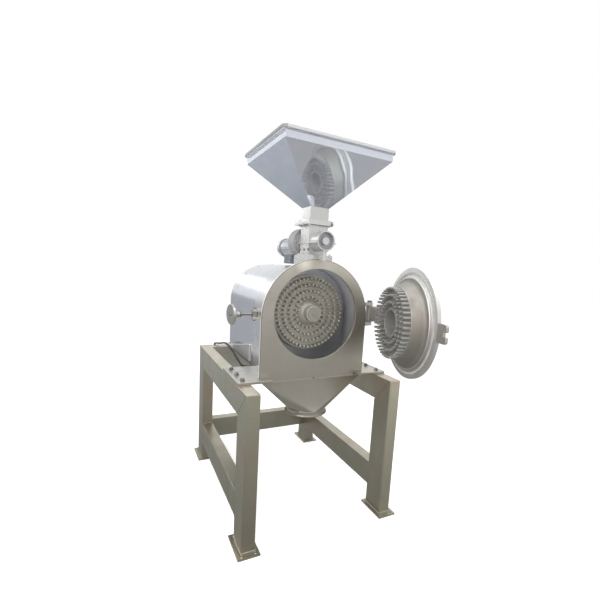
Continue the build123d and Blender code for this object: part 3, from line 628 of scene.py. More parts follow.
spin = add(
    hex_bolt, "FunctionNodeAxisAngleToRotation", {"Angle": chance.outputs[1]}, {"Axis": (0, 0, 1)}
)
turned = add(
    hex_bolt,
    "FunctionNodeRotateRotation",
    {"Rotation": point_out.outputs[0], "Rotate By": spin.outputs[0]},
    rotation_space="LOCAL",
)
bolts = add(
    hex_bolt,
    "GeometryNodeInstanceOnPoints",
    {"Points": entry["Geometry"], "Instance": whole.outputs[0], "Rotation": turned.outputs[0]},
)
close_tree(hex_bolt, entry, bolts.outputs[0])
joints = {joint["name"]: joint for joint in frame["joints"]}
mill_axis = Vector(joints["rotor_spin"]["pos_m"])


def screw_down(
    name, spots, facing, head, height, metal, seed, body="stand", stands_for=()
):
    radial = facing is None
    sizes = {
        "Head radius": head,
        "Head height": height,
        "Washer radius": head * 1.28,
        "Washer height": height * 0.5,
        "Facing": (0, 0, 0) if radial else facing,
        "Centre": tuple(mill_axis),
        "Radial": 1.0 if radial else 0.0,
        "Seed": seed,
        "Finish": metal,
    }
    return grow(name, hex_bolt, sizes, spots, body=body, stands_for=stands_for, crease=30)


bolt_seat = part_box("left_mount_plate")[1].z + 0.0005
bolt_middle = -0.245
bolt_pitch = 0.095
screw_down(
    "mount_bolt_heads",
    [(x, bolt_middle + k * bolt_pitch, bolt_seat) for x in (-leg_x, leg_x) for k in (-1, 0, 1)],
    (0, 0, 1),
    head=0.0085, height=0.0095, metal=bolt_steel, seed=11,
    stands_for=("mount_bolts",),
)

# Mill body: a thick satin front plate with the round mouth, a rolled shell and a rear cover
# of polished sheet, welded together. Inside, the chamber wall is dull from the product, and its
# colour is painted lighter at the top and left and darker at the bottom and right: painted light and
# shade.
hair = 0.0001
plate_low, plate_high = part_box("front_plate")
arch_mid = plate_high.z - plate_high.x


def arch_reach(tree, place):
    spot = add(tree, "ShaderNodeSeparateXYZ", {0: place}).outputs
    climb = reckon(tree, "SUBTRACT", spot["Z"], arch_mid)
    above = reckon(tree, "MAXIMUM", climb, 0.0)
    flat = add(tree, "ShaderNodeCombineXYZ", {"X": spot["X"], "Z": above})
    return reckon_vector(tree, "LENGTH", flat.outputs[0])


def near_to(centre):
    return lambda tree, place: reckon_vector(tree, "DISTANCE", place, centre)


front_satin = steel(
    "front_satin", (0.56, 0.54, 0.485), (0.41, 0.395, 0.36), rough=0.38, grain=(6, 300, 300)
)
crown_glint = (-0.078, plate_low.y, 1.226)
# A thin line just inside the outer rim is painted dark: a painted shadow of the seam.
scale_colour(front_satin, arch_reach, (0.2683, 1.0), (0.2712, 0.4))
# Towards the crown and the right the plate is painted lighter: painted light.
scale_colour(front_satin, leaning((0.55, 0, 1)), (0.97, 0.97), (1.25, 1.25))
# Around crown_glint the plate is painted up to half again as light: a painted highlight.
scale_colour(front_satin, near_to(crown_glint), (0.008, 1.5), (0.048, 1.0))
# The outer side faces of the plate take a much lighter steel: a painted highlight along the edge.
plate_edge_painted_light = steel(
    "plate_edge_painted_light", (0.86, 0.85, 0.81), (0.70, 0.69, 0.65), rough=0.36, grain=(300, 8, 300), metallic=0.45
)
mouth_reach = 0.22
front = dress("front_plate", front_satin, edge=0.0015)
front.data.materials.append(plate_edge_painted_light)
for face in front.data.polygons:
    reach = math.hypot(face.center.x, face.center.z - mill_axis.z)
    if abs(face.normal.y) < 0.5 and reach > mouth_reach:
        face.material_index = 1
shell_bright = steel(
    "shell_bright", (0.65, 0.655, 0.69), (0.50, 0.505, 0.54),
    rough=0.28, grain=(1.1, 150, 1.1), bump=0.06, stain=0.15, metallic=0.74,
)
chamber_dull_painted_shade = steel(
    "chamber_dull_painted_shade", (0.47, 0.475, 0.50), (0.36, 0.365, 0.385),
    rough=0.6, grain=(6, 200, 6), bump=0.1, stain=0.2, metallic=0.3,
)
# Painted light and shade: the chamber wall is lighter towards the top and left and darker towards the
# bottom and right.
scale_colour(chamber_dull_painted_shade, leaning((-0.8, 0, 1)), (0.80, 0.64), (1.25, 1.72))
shell = dress("chamber_shell", shell_bright, edge=0.0008)
shell.data.materials.append(chamber_dull_painted_shade)
for face in shell.data.polygons:
    out = face.center - mill_axis
    out.y = 0
    if face.normal.dot(out) < -0.02:
        face.material_index = 1
dress("chamber_back_plate", chamber_dull_painted_shade, edge=0.001)
shell_polish = steel(
    "shell_polish", (0.66, 0.68, 0.73), (0.52, 0.54, 0.59),
    rough=0.2, grain=(1.1, 150, 1.1), bump=0.06, wave=0.002, stain=0.1, metallic=0.84,
)
for node in ("rear_cover", "rear_end_cap"):
    dress(node, shell_polish, edge=0.0008)


def on_circle(reach, y, height, turn):
    return (reach * math.cos(turn), y, height + reach * math.sin(turn))


cover_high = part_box("rear_cover")[1]
screw_down(
    "end_cap_screws",
    [
        on_circle(cover_high.x - 0.0002, cover_high.y - 0.010, mill_axis.z, math.radians(22.5 * k))
        for k in range(9)
    ],
    None,
    head=0.0036, height=0.003, metal=shell_polish, seed=21,
)
grow(
    "shell_weld",
    weld_bead,
    {"Step": 0.0045, "Bead": 0.0034, "Spread": 0.16, "Seed": 9, "Finish": weld_grey},
    [
        on_circle(cover_high.x + 0.0005, plate_high.y + bead_out, mill_axis.z, math.radians(3 * k))
        for k in range(61)
    ],
    [(k, k + 1) for k in range(60)],
    crease=180,
)
screw_down(
    "seam_plug",
    [(0, plate_low.y - hair, plate_low.z)],
    (0, -1, 0),
    head=0.0034, height=0.0012, metal=bolt_steel, seed=23,
)


# Flank sheets of the same stainless lie flat against the rear cover, low on both sides. They
# stand for the rails mirrored in the cover: a painted reflection. Their upper and front edges
# are folded over, and the folds take a lighter steel: a painted highlight.
def slab(name, outline, push, metal, edge, body="stand"):
    shape = bmesh.new()
    near = [shape.verts.new(spot) for spot in outline]
    far = [shape.verts.new(Vector(spot) + Vector(push)) for spot in outline]
    shape.faces.new(near)
    shape.faces.new(far[::-1])
    for k in range(len(near)):
        nxt = (k + 1) % len(near)
        shape.faces.new((near[k], far[k], far[nxt], near[nxt]))
    bmesh.ops.recalc_face_normals(shape, faces=shape.faces)
    mesh = bpy.data.meshes.new(name)
    shape.to_mesh(mesh)
    shape.free()
    mesh.materials.append(metal)
    piece = bpy.data.objects.new(name, mesh)
    scene.collection.objects.link(piece)
    soften(piece, edge, rounds=2, limit=30)
    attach(piece, body)
    return piece


# The flank sheets are a painted reflection, and the lighter folds a painted highlight.
flank_painted_reflection = steel(
    "flank_painted_reflection", (0.54, 0.55, 0.58), (0.36, 0.37, 0.40),
    rough=0.42, grain=(300, 300, 6), bump=0.08, stain=0.15, metallic=0.72,
)
fold_painted_highlight = steel(
    "fold_painted_highlight", (0.86, 0.86, 0.86), (0.70, 0.70, 0.71),
    rough=0.3, grain=(60, 60, 60), stain=0.05, metallic=0.6,
)
flank_side = cover_high.x - hair
flank_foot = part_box("motor_base")[1].z + 0.0005
flank_front = -0.022
flank_rear = 0.310
flank_high = 0.804
flank_low = 0.734
corner_cut = 0.005
fold_wide = 0.0035
fold_y = flank_front + fold_wide
flank_rim = [
    (flank_front, flank_foot),
    (flank_front, flank_high - corner_cut),
    (flank_front + corner_cut, flank_high),
    (flank_rear, flank_low),
]
flank_shape = flank_rim + [(flank_rear, flank_foot)]
fold_inside = [
    (flank_rear, flank_low - fold_wide),
    (fold_y + 0.002, 0.8004),
    (fold_y, 0.7984),
    (fold_y, flank_foot),
]
both_sides = ((-1, "left"), (1, "right"))
for side, end in both_sides:
    for name, outline, thick, metal, edge in (
        ("flank_sheet_", flank_shape, 0.0025, flank_painted_reflection, 0.0006),
        ("flank_fold_", flank_rim + fold_inside, 0.0055, fold_painted_highlight, 0.0016),
    ):
        slab(
            name + end,
            [(side * flank_side, y, z) for y, z in outline],
            (side * thick, 0, 0),
            metal,
            edge,
        )

# Motor base and cradle, welded from the same stainless plate. A flat bar is welded to the
# inner face of the rear top rail as its stiffener.
for node in ("motor_base", "motor_cradle"):
    dress(node, plate_satin, edge=0.0008)


def oblong(near, far, low, high):
    return [(near, low), (far, low), (far, high), (near, high)]


stiffener_grey = steel(
    "stiffener_grey", (0.70, 0.69, 0.645), (0.50, 0.493, 0.46), rough=0.4, grain=(5, 420, 420), stain=0.4
)
rail_low, rail_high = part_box("rear_top_rail")
bar_end = rail_high.x - 0.0002
slab(
    "rear_stiffener",
    [
        (x, rail_low.y - hair, z)
        for x, z in oblong(-bar_end, bar_end, rail_low.z - 0.020, rail_high.z - 0.001)
    ],
    (0, -0.006, 0),
    stiffener_grey,
    edge=0.001,
)

# Discharge: a square to round cone folded from sheet, welded under the chamber, and a
# rolled collar with a lip on which a bag is tied.
cone_satin = steel(
    "cone_satin", (0.59, 0.57, 0.515), (0.44, 0.425, 0.385),
    rough=0.36, grain=(260, 260, 8), bump=0.08, wave=0.002,
)
# The cone is painted darker towards the bottom and lighter towards the top: painted shade.
scale_colour(cone_satin, leaning((0, 0, 1)), (0.56, 0.94), (0.66, 1.2))
for node in ("discharge_cone", "outlet_collar"):
    dress(node, cone_satin, edge=0.0008)

# Drive train behind the chamber, hidden by the rear cover: a cast bearing housing with two
# bearings, bright turned shafts joined by a coupling, and a painted motor.
cast_grey = steel(
    "cast_grey", (0.36, 0.37, 0.39), (0.24, 0.25, 0.27), rough=0.55, grain=(120, 120, 120), bump=0.4
)
for node in ("bearing_housing", "main_motor"):
    dress(node, cast_grey, edge=0.001)
bright_steel = steel(
    "bright_steel", (0.62, 0.62, 0.60), (0.44, 0.44, 0.43), rough=0.3, grain=(300, 300, 300)
)
for node in ("shaft_bearings", "main_shaft", "motor_shaft", "shaft_coupling"):
    dress(node, bright_steel, edge=0)

# Rotor: a turned stainless disc with four rings of pressed-in round pins, and a hub whose
# nose cap is held by one screw.
rotor_spin = (tuple(mill_axis), 0.0, (1, 0, 1))
rotor_grey = steel(
    "rotor_turned", (0.57, 0.555, 0.505), (0.41, 0.40, 0.36),
    rough=0.62, grain=900, bump=0.2, lathe=rotor_spin, stain=0.5, metallic=0.7,
)
# The nose cap takes a darker copy of the rotor's turned steel: painted shade on the nose near the mouth.
nose_painted_shade = steel(
    "nose_turned_painted_shade", (0.41, 0.40, 0.36), (0.30, 0.29, 0.265),
    rough=0.6, grain=900, bump=0.2, lathe=rotor_spin, stain=0.5, metallic=0.7,
)
pin_grey = steel(
    "pin_grey", (0.56, 0.54, 0.495), (0.36, 0.35, 0.315),
    rough=0.42, grain=(500, 500, 500), bump=0.1, metallic=0.85,
)
dress("rotor_disc", rotor_grey, edge=0.001)
dress("rotor_nose", nose_painted_shade, edge=0.001)

pin_rings, entry = plan_tree(
    "pin_rings",
    ("Rings", "Int"),
    ("First radius", "Float"),
    ("Ring pitch", "Float"),
    ("First count", "Int"),
    ("More per ring", "Int"),
    ("Pin radius", "Float"),
    ("Pin length", "Float"),
    ("Tip bevel", "Float"),
)
blank = add(
    pin_rings,
    "GeometryNodeMeshCylinder",
    {"Radius": entry["Pin radius"], "Depth": entry["Pin length"]},
    {"Vertices": 14, "Side Segments": 2},
)
half = reckon(pin_rings, "MULTIPLY", entry["Pin length"], 0.5)
stood = lifted(pin_rings, blank, half)
here = add(pin_rings, "GeometryNodeInputPosition").outputs[0]
height = add(pin_rings, "ShaderNodeSeparateXYZ", {0: here}).outputs["Z"]
from_mid = reckon(pin_rings, "SUBTRACT", height, half)
to_bevel = reckon(pin_rings, "SUBTRACT", half, entry["Tip bevel"])
shift = add(pin_rings, "ShaderNodeCombineXYZ", {"Z": to_bevel})
ringed = add(
    pin_rings,
    "GeometryNodeSetPosition",
    {
        "Geometry": stood.outputs[0],
        "Selection": reckon(pin_rings, "COMPARE", from_mid, 0.0, 0.001),
        "Offset": shift.outputs[0],
    },
)
from_tip = reckon(pin_rings, "SUBTRACT", height, entry["Pin length"])
narrow = reckon_vector(pin_rings, "MULTIPLY", here, (0.76, 0.76, 1))
pin = add(
    pin_rings,
    "GeometryNodeSetPosition",
    {
        "Geometry": ringed.outputs[0],
        "Selection": reckon(pin_rings, "COMPARE", from_tip, 0.0, 0.0002),
        "Position": narrow,
    },
)
loop_in = add(pin_rings, "GeometryNodeRepeatInput")
loop_out = add(pin_rings, "GeometryNodeRepeatOutput")
loop_in.pair_with_output(loop_out)
pin_rings.links.new(entry["Rings"], loop_in.inputs["Iterations"])
turn = loop_in.outputs["Iteration"]
reach = reckon(pin_rings, "MULTIPLY_ADD", turn, entry["Ring pitch"], entry["First radius"])
count = reckon(pin_rings, "MULTIPLY_ADD", turn, entry["More per ring"], entry["First count"])
circle = add(pin_rings, "GeometryNodeMeshCircle", {"Vertices": count, "Radius": reach})
planted = add(
    pin_rings, "GeometryNodeInstanceOnPoints", {"Points": circle.outputs[0], "Instance": pin.outputs[0]}
)
gather = add(pin_rings, "GeometryNodeJoinGeometry")
pin_rings.links.new(loop_in.outputs["Geometry"], gather.inputs[0])
pin_rings.links.new(planted.outputs[0], gather.inputs[0])
pin_rings.links.new(gather.outputs[0], loop_out.inputs["Geometry"])
close_tree(pin_rings, entry, loop_out.outputs["Geometry"])


def pin_set(name, rings, first, count, body, node, metal, seat):
    sizes = {
        "Rings": rings,
        "First radius": first,
        "Ring pitch": 0.0305,
        "First count": count,
        "More per ring": 10,
        "Pin radius": 0.0057,
        "Pin length": 0.031,
        "Tip bevel": 0.0014,
        "Finish": metal,
    }
    piece = grow(
        name, pin_rings, sizes, [], body=body, stands_for=(node,), crease=30
    )
    piece.data.transform(seat)
    return piece


pin_set(
    "rotor_pin_rings",
    rings=4, first=0.0755, count=21,
    body="rotor", node="rotor_pins", metal=pin_grey,
    seat=Matrix.Translation(mill_axis) @ Matrix.Rotation(math.radians(90), 4, "X"),
)

# Door, turned from stainless: a flange with a spigot, a silicone seal and a conical drum with
# three rings of pins. A fork lug takes the clamp, and a bolted arm carries it on the hinge pin.
# Its pins and bolts are placed on the shut door and swung open with it.
hinge = Vector(joints["door_swing"]["pos_m"])
door_turn = -math.radians(joints["door_swing"]["range_deg"][0])
opened = Matrix.Translation(hinge) @ Matrix.Rotation(door_turn, 4, "Z") @ Matrix.Translation(-hinge)
to_closed = opened.inverted()
door_face = -0.3274
drum_face = -0.260
arm_face = -0.3634
sleeve_reach = 0.0655
door_spin = (tuple(opened @ Vector((0, door_face, mill_axis.z))), door_turn, (1, 0, 1))
door_grey = steel(
    "door_turned", (0.72, 0.715, 0.705), (0.54, 0.535, 0.53),
    rough=0.5, grain=700, bump=0.12, lathe=door_spin, stain=0.5, metallic=0.85,
)
# The door is painted lighter towards the top and darker towards the bottom: painted light and shade.
scale_colour(door_grey, leaning((0, 0, 1)), (0.86, 0.82), (1.2, 1.14))
dress("door_plate", door_grey, edge=0.0015)
drum_grey = steel(
    "drum_turned", (0.345, 0.334, 0.308), (0.25, 0.243, 0.228),
    rough=0.68, grain=700, bump=0.12, lathe=door_spin, stain=0.7, metallic=0.92,
)
# The drum's face between the pins is painted lighter than its cone: painted light against the shade
# between the pins.
scale_colour(
    drum_grey, lambda tree, place: lathe_radius(tree, place, door_spin), (0.1598, 1.35), (0.1622, 1.0)
)
# The bore of the sleeve takes a lighter steel than the drum: painted light in the shaded bore.
sleeve_painted_light = steel(
    "sleeve_painted_light", (0.40, 0.395, 0.385), (0.30, 0.295, 0.29), rough=0.55, grain=(60, 60, 60), metallic=0.5
)
drum = dress("stator_drum", drum_grey, edge=0.0012)
drum.data.materials.append(sleeve_painted_light)
for face in drum.data.polygons:
    spot = to_closed @ face.center
    if math.hypot(spot.x, spot.z - mill_axis.z) < sleeve_reach:
        face.material_index = 1
pin_bright = steel(
    "pin_bright", (0.36, 0.36, 0.35), (0.28, 0.28, 0.27),
    rough=0.6, grain=(500, 500, 500), bump=0.1, metallic=0.5,
)
to_front = Matrix.Rotation(math.radians(-90), 4, "X")
drum_seat = opened @ Matrix.Translation((0, drum_face, mill_axis.z)) @ to_front
pin_set(
    "door_pin_rings",
    rings=3, first=0.09075, count=26,
    body="door", node="stator_pins", metal=pin_bright,
    seat=drum_seat,
)
seal_pale = moulded(
    "seal_silicone", (0.42, 0.42, 0.40), (0.60, 0.60, 0.57), rough=(0.45, 0.6), scale=60, bump=0.1
)
dress("door_seal", seal_pale, edge=0.0006)
lug_satin = steel(
    "lug_satin", (0.56, 0.54, 0.51), (0.40, 0.385, 0.365), rough=0.4, grain=(420, 420, 8), metallic=0.85
)
for node in ("fork_lug", "hinge_arm", "hinge_bracket"):
    dress(node, lug_satin, edge=0.002, rounds=3)
dress("hinge_pin", bolt_steel, edge=0.0008)
screw_down(
    "hinge_arm_bolts",
    [
        opened @ Vector((x, arm_face, mill_axis.z + z))
        for x in (0.205, 0.235)
        for z in (-0.024, 0.024)
    ],
    tuple(opened.to_3x3() @ Vector((0, -1, 0))),
    head=0.0065, height=0.0055, metal=bolt_steel, seed=5,
    body="door",
)

# Clamp: a steel eye bolt on a pin between the ears of its bracket, which swings out of the
# fork lug, a thrust washer and a flat turned handwheel whose boss is threaded on the bolt.
clamp_turn = math.radians(188.3)
clamp_spin = (joints["clamp_swing"]["pos_m"], clamp_turn, (0, 1, 1))
thread_start = -0.312
dress("clamp_bracket", lug_satin, edge=0.002, rounds=3)
dress("clamp_pivot_pin", bolt_steel, edge=0.0008)
dress("thrust_washer", bolt_steel, edge=0.0006)
thread_steel = steel(
    "thread_steel", (0.40, 0.39, 0.38), (0.24, 0.24, 0.24), rough=0.36, grain=(160, 160, 160), bump=0.1
)
tree = thread_steel.node_tree
place = add(tree, "ShaderNodeTexCoord").outputs["Object"]
ridge = add(
    tree, "ShaderNodeTexWave", {"Vector": place}, {"Scale": 157}, bands_direction="X", wave_profile="TRI"
)
spread = add(tree, "ShaderNodeSeparateXYZ", {0: place}).outputs["X"]
shank = reckon(tree, "LESS_THAN", spread, thread_start)
shader = tree.nodes["Principled BSDF"]
thread = add(
    tree,
    "ShaderNodeBump",
    {
        "Height": reckon(tree, "MULTIPLY", ridge.outputs["Fac"], shank),
        "Normal": shader.inputs["Normal"].links[0].from_socket,
    },
    {"Strength": 0.8, "Distance": 0.0008},
)
tree.links.new(thread.outputs["Normal"], shader.inputs["Normal"])
dress("swing_bolt", thread_steel, edge=0.0006)
wheel_satin = steel(
    "wheel_turned", (0.56, 0.55, 0.52), (0.42, 0.41, 0.39),
    rough=0.34, grain=800, bump=0.15, lathe=clamp_spin,
)
dress("handwheel", wheel_satin, edge=0.002, rounds=3)

# Feed: a saddle box of bright folded sheet on the shell, the split star valve housing with
# its turned end cap, screwed on it, and a strut to the front plate.
valve_axis = Vector(joints["valve_spin"]["pos_m"])
housing_low, housing_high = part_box("feeder_housing")
saddle_low, saddle_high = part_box("feeder_saddle")
duct_bright = steel(
    "duct_bright", (0.64, 0.64, 0.635), (0.46, 0.46, 0.455),
    rough=0.28, grain=(260, 260, 7), bump=0.06, wave=0.0012, swell=110, stain=0.1, metallic=0.6,
)
for node in ("feeder_saddle", "feeder_housing", "feeder_strut"):
    dress(node, duct_bright, edge=0.0008)
cap_spin = (tuple(valve_axis), 0.0, (1, 0, 1))
# Behind its foremost faces the end cap takes a darker, bluer steel: painted shade in the recess.
cap_recess_painted_shade = steel(
    "cap_turned", (0.40, 0.42, 0.46), (0.28, 0.295, 0.33),
    rough=0.42, grain=700, bump=0.15, lathe=cap_spin,
)
cap_boss = -0.354
cap = dress("feeder_end_cap", cap_recess_painted_shade, edge=0.001)
cap.data.materials.append(duct_bright)
for face in cap.data.polygons:
    if face.center.y < cap_boss:
        face.material_index = 1
dress("feeder_rotor", bright_steel, edge=0)
split_in = housing_high.x - 0.0039
split_wide = 0.0084
split_rim = oblong(housing_low.y + 0.003, housing_high.y - 0.002, 1.3238, 1.3302)
valve_face = housing_high.x + hair
screw_height = 1.297
screw_pitch = 0.047
for side, end in both_sides:
    slab(
        "valve_split_" + end,
        [(side * split_in, y, z) for y, z in split_rim],
        (side * split_wide, 0, 0),
        duct_bright,
        edge=0.0008,
    )
    screw_down(
        "valve_screws_" + end,
        [(side * valve_face, valve_axis.y + k * screw_pitch, screw_height) for k in (-1, 0, 1)],
        (side, 0, 0),
        head=0.0045, height=0.004, metal=bolt_steel, seed=33 + side,
    )
saddle_mid = (saddle_low.y + saddle_high.y) / 2
saddle_rim = saddle_high.x - 0.009
saddle_pitch = 0.049
screw_down(
    "saddle_screws",
    [
        (x, saddle_mid + k * saddle_pitch, saddle_high.z + hair)
        for x in (-saddle_rim, saddle_rim)
        for k in (-1, 0, 1)
    ],
    (0, 0, 1),
    head=0.0045, height=0.0055, metal=bright_steel, seed=37,
)

# Gear motor of the star valve: a cast reducer flanged to the housing, and a painted motor with
# cooling fins, a fan cowl and a terminal box. A cradle on the shell carries it.
motor_height = valve_axis.z - 0.020
dress("feeder_cradle", duct_bright, edge=0.0008)
reducer_grey = steel(
    "reducer_grey", (0.50, 0.50, 0.51), (0.22, 0.22, 0.23),
    rough=0.62, grain=(90, 90, 90), bump=0.6, metallic=0.4,
)
dress("gear_reducer", reducer_grey, edge=0.0015)
flange_face = -0.1602
screw_ring = 0.0605
screw_step = 0.785
screw_down(
    "reducer_screws",
    [on_circle(screw_ring, flange_face, valve_axis.z, screw_step * k) for k in range(8)],
    (0, -1, 0),
    head=0.0042, height=0.004, metal=bright_steel, seed=31,
)
motor_pale = steel(
    "motor_pale", (0.70, 0.71, 0.735), (0.54, 0.55, 0.575), rough=0.45, grain=(120, 120, 120), bump=0.3
)
cowl_blue = moulded(
    "cowl_paint", (0.15, 0.16, 0.19), (0.30, 0.315, 0.36), rough=(0.4, 0.6), scale=30, bump=0.2
)
fan_end = 0.120
box_top = 1.272
motor = dress("feeder_motor", motor_pale, edge=0.0015)
motor.data.materials.append(cowl_blue)
for face in motor.data.polygons:
    if face.center.y > fan_end or face.center.z < box_top:
        face.material_index = 1
cowl_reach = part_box("feeder_motor")[1].x + 0.0012
cowl_start = 0.0795
cowl_wide = 0.009
slab(
    "cowl_band",
    [on_circle(cowl_reach, cowl_start, motor_height, math.radians(10 * k)) for k in range(36)],
    (0, cowl_wide, 0),
    cowl_blue,
    edge=0.0012,
)
fins, entry = plan_tree(
    "cooling_fins",
    ("Count", "Int"),
    ("Radius", "Float"),
    ("Height", "Float"),
    ("Thickness", "Float"),
    ("Length", "Float"),
)
hoop = add(fins, "GeometryNodeMeshCircle", {"Vertices": entry["Count"], "Radius": entry["Radius"]})
extent = add(
    fins, "ShaderNodeCombineXYZ", {"X": entry["Height"], "Y": entry["Thickness"], "Z": entry["Length"]}
)
blade = add(fins, "GeometryNodeMeshCube", {"Size": extent.outputs[0]})
spoke = add(fins, "GeometryNodeInputPosition").outputs[0]
splay = add(fins, "FunctionNodeAlignRotationToVector", {"Vector": spoke}, axis="X")
row = add(
    fins,
    "GeometryNodeInstanceOnPoints",
    {"Points": hoop.outputs[0], "Instance": blade.outputs[0], "Rotation": splay.outputs[0]},
)
close_tree(fins, entry, row.outputs[0])
for name, count, radius, height, thick, length, metal, mid in (
    ("feeder_motor_fins", 26, 0.0470, 0.005, 0.0022, 0.128, motor_pale, 0.004),
    ("feeder_motor_grille", 14, 0.0270, 0.024, 0.0030, 0.002, cowl_blue, 0.1255),
):
    sizes = {
        "Count": count,
        "Radius": radius,
        "Height": height,
        "Thickness": thick,
        "Length": length,
        "Finish": metal,
    }
    piece = grow(name, fins, sizes, [], crease=30)
    seat = Matrix.Translation((0, mid, motor_height)) @ Matrix.Rotation(math.radians(90), 4, "X")
    piece.data.transform(seat)
lid_face = -0.0271
lid_thick = 0.004
lid_front = -0.036
lid_rear = 0.052
lid_bottom = 1.234
lid_top = 1.266
slab(
    "feeder_box_lid",
    [(lid_face, y, z) for y, z in oblong(lid_front, lid_rear, lid_bottom, lid_top)],
    (-lid_thick, 0, 0),
    cowl_blue,
    edge=0.001,
)
screw_down(
    "feeder_box_screws",
    [
        (lid_face - lid_thick - hair, y, z)
        for y in (lid_front + 0.005, lid_rear - 0.005)
        for z in (lid_bottom + 0.0045, lid_top - 0.0045)
    ],
    (-1, 0, 0),
    head=0.003, height=0.0025, metal=bright_steel, seed=47,
)

# Slide gate with a turned knob, in a frame of two flanges screwed together around it. A thin
# dark rubber strip under the frame stands for the shadow line there: a painted shadow.
gate_low, gate_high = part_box("gate_frame")
gate_mid = Vector((0, valve_axis.y, gate_low.z))
gate_half = gate_high.y - gate_mid.y
dress("slide_gate", duct_bright, edge=0.0008)
knob_height = 1.4278
knob_spin = ((0, valve_axis.y, knob_height), 0.0, (0, 1, 1))
knob_steel = steel(
    "knob_turned", (0.66, 0.66, 0.64), (0.5, 0.5, 0.49), rough=0.28, grain=900, bump=0.1, lathe=knob_spin
)
dress("gate_knob", knob_steel, edge=0.002, rounds=3)
# The frame takes a lighter copy of the duct's bright sheet: painted light on the frame.
frame_painted_light = steel(
    "frame_painted_light", (0.68, 0.68, 0.675), (0.52, 0.52, 0.515), rough=0.3, grain=(90, 90, 260), metallic=0.6
)
dress("gate_frame", frame_painted_light, edge=0.0012)
# A dark strip under the frame: a painted shadow line.
shadow_strip_dark = moulded(
    "shadow_strip_painted", (0.09, 0.09, 0.085), (0.17, 0.17, 0.16), rough=(0.5, 0.7), scale=60, bump=0.1
)
shadow_strip_thick = 0.0028
corners = oblong(gate_half, -gate_half, 0.0, shadow_strip_thick)
for k, end in enumerate(("right", "rear", "left", "front")):
    turn = Matrix.Rotation(math.radians(90 * k), 3, "Z")
    slab(
        "gate_shadow_strip_" + end,
        [gate_mid + turn @ Vector((gate_half - 0.002, y, z)) for y, z in corners],
        turn @ Vector((shadow_strip_thick, 0, 0)),
        shadow_strip_dark,
        edge=0.0005,
    )
screw_reach = 0.0515
for name, side, height in (
    ("gate_screw_heads", 1, gate_high.z + hair),
    ("gate_screw_nuts", -1, gate_low.z - hair),
):
    screw_down(
        name,
        [
            (x, gate_mid.y + y, height)
            for x in (-screw_reach, screw_reach)
            for y in (-screw_reach, 0, screw_reach)
        ],
        (0, 0, side),
        head=0.0038, height=0.0035, metal=bright_steel, seed=41,
    )

# Hopper folded from mirror polished sheet and welded, with a square neck, an upright band and
# a turned out lip whose corners are cut off and ground.
hopper_low, hopper_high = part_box("hopper")
neck_top = 1.489
lip_mid = (hopper_low.y + hopper_high.y) / 2
lip_low = hopper_high.z - 0.012
lip_out = hopper_high.x - 0.0005
lip_in = 0.2541
lip_cut = 0.0155
# Two copies of the mirror sheet are painted by height: the main faces lighter towards the bottom, the
# downward left faces darker towards the bottom. Painted light and shade.
mirrors = []
for name, low, high, pale_at in (
    ("hopper_mirror", 1.22, 1.0, 1.62),
    ("hopper_left", 0.80, 1.05, 1.70),
):
    mirror = steel(
        name, (0.735, 0.77, 0.855), (0.615, 0.65, 0.735),
        rough=0.05, grain=(5, 5, 60), bump=0.02, wave=0.003, stain=0.3, metallic=0.78,
    )
    scale_colour(mirror, leaning((0, 0, 1)), (1.49, low), (pale_at, high))
    mirrors.append(mirror)
hopper_mirror, hopper_left = mirrors
lip_satin = steel(
    "lip_satin", (0.66, 0.67, 0.69), (0.62, 0.63, 0.65),
    rough=0.45, grain=(20, 20, 400), bump=0.03, stain=0.1, metallic=0.75,
)
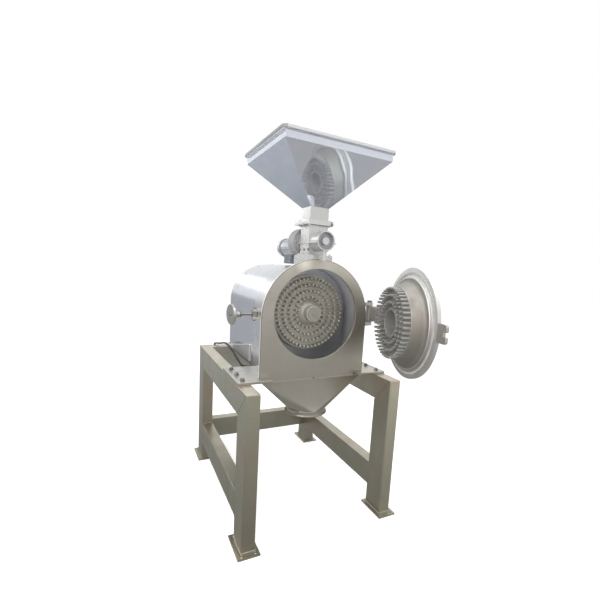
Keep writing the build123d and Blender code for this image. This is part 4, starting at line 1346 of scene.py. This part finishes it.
# The outer left faces of the lip take a darker copy of its satin steel: painted shade.
lip_left_painted_shade = steel(
    "lip_left_painted_shade", (0.33, 0.335, 0.36), (0.26, 0.265, 0.285),
    rough=0.45, grain=(60, 60, 400), stain=0.1, metallic=0.6,
)
lip_ground = steel(
    "lip_ground", (0.33, 0.33, 0.335), (0.25, 0.25, 0.255),
    rough=0.75, grain=(90, 90, 90), stain=0.1, metallic=0.3,
)
hopper = dress("hopper", hopper_mirror, edge=0.0006)
coats = [hopper_mirror, duct_bright, lip_satin, lip_ground, lip_left_painted_shade, hopper_left]
for coat in coats[1:]:
    hopper.data.materials.append(coat)
for face in hopper.data.polygons:
    reach = max(abs(face.center.x), abs(face.center.y - lip_mid))
    slanted = abs(abs(face.normal.x) - abs(face.normal.y)) < 0.1
    if face.center.z < neck_top:
        coat = duct_bright
    elif face.center.z > lip_low - 0.0002 and reach > lip_in + 0.0004:
        coat = lip_ground if slanted and face.normal.z < 0.1 else lip_satin
        if face.normal.x < -0.9:
            coat = lip_left_painted_shade
    elif face.normal.x < -0.3 and face.normal.z < 0:
        coat = hopper_left
    else:
        coat = hopper_mirror
    face.material_index = coats.index(coat)
lip_under = steel(
    "lip_under", (0.62, 0.63, 0.66), (0.56, 0.57, 0.60),
    rough=0.75, grain=(20, 20, 400), bump=0.0, stain=0.1, metallic=0.1,
)
# The underside of the lip is painted lighter on the left: painted light.
scale_colour(lip_under, leaning((-1, 0, 0)), (0.249, 1.0), (0.2545, 1.4))
lip_path = [
    (0, -lip_out),
    (lip_out - lip_cut, -lip_out),
    (lip_out, lip_cut - lip_out),
    (lip_out, lip_out - lip_cut),
    (lip_out - lip_cut, lip_out),
    (0, lip_out),
    (0, lip_in),
    (lip_in, lip_in),
    (lip_in, -lip_in),
    (0, -lip_in),
]
for side, end in both_sides:
    slab(
        "hopper_lip_" + end,
        [(side * x, lip_mid + y, lip_low) for x, y in lip_path],
        (0, 0, 0.002),
        lip_under,
        edge=0.0004,
    )

# Junction box and glands of black moulded plastic, screwed to the back of the rear top rail.
# Its lid has four screws, and the cable leaves through the gland on top.
box_low, box_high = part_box("junction_box")
box_black = moulded(
    "box_black", (0.018, 0.018, 0.020), (0.05, 0.05, 0.052), rough=(0.35, 0.55), scale=40, bump=0.15
)
for node in ("junction_box", "cable_glands"):
    dress(node, box_black, edge=0.0015)
lid_back = box_high.y + 0.0002
lid_inset = 0.002
lid_corners = oblong(
    box_low.x + lid_inset, box_high.x - lid_inset, box_low.z + lid_inset, box_high.z - lid_inset
)
slab(
    "junction_lid",
    [(x, lid_back, z) for x, z in lid_corners],
    (0, lid_thick, 0),
    box_black,
    edge=0.0012,
)
screw_inset = 0.007
screw_down(
    "junction_screws",
    [
        (x, lid_back + lid_thick + hair, z)
        for x in (box_low.x + screw_inset, box_high.x - screw_inset)
        for z in (box_low.z + screw_inset, box_high.z - screw_inset)
    ],
    (0, 1, 0),
    head=0.0028, height=0.0016, metal=bright_steel, seed=43,
)
screw_down(
    "gland_nuts",
    [(*cable_path[0][:2], box_high.z + hair)],
    (0, 0, 1),
    head=0.0135, height=0.007, metal=box_black, seed=45,
)
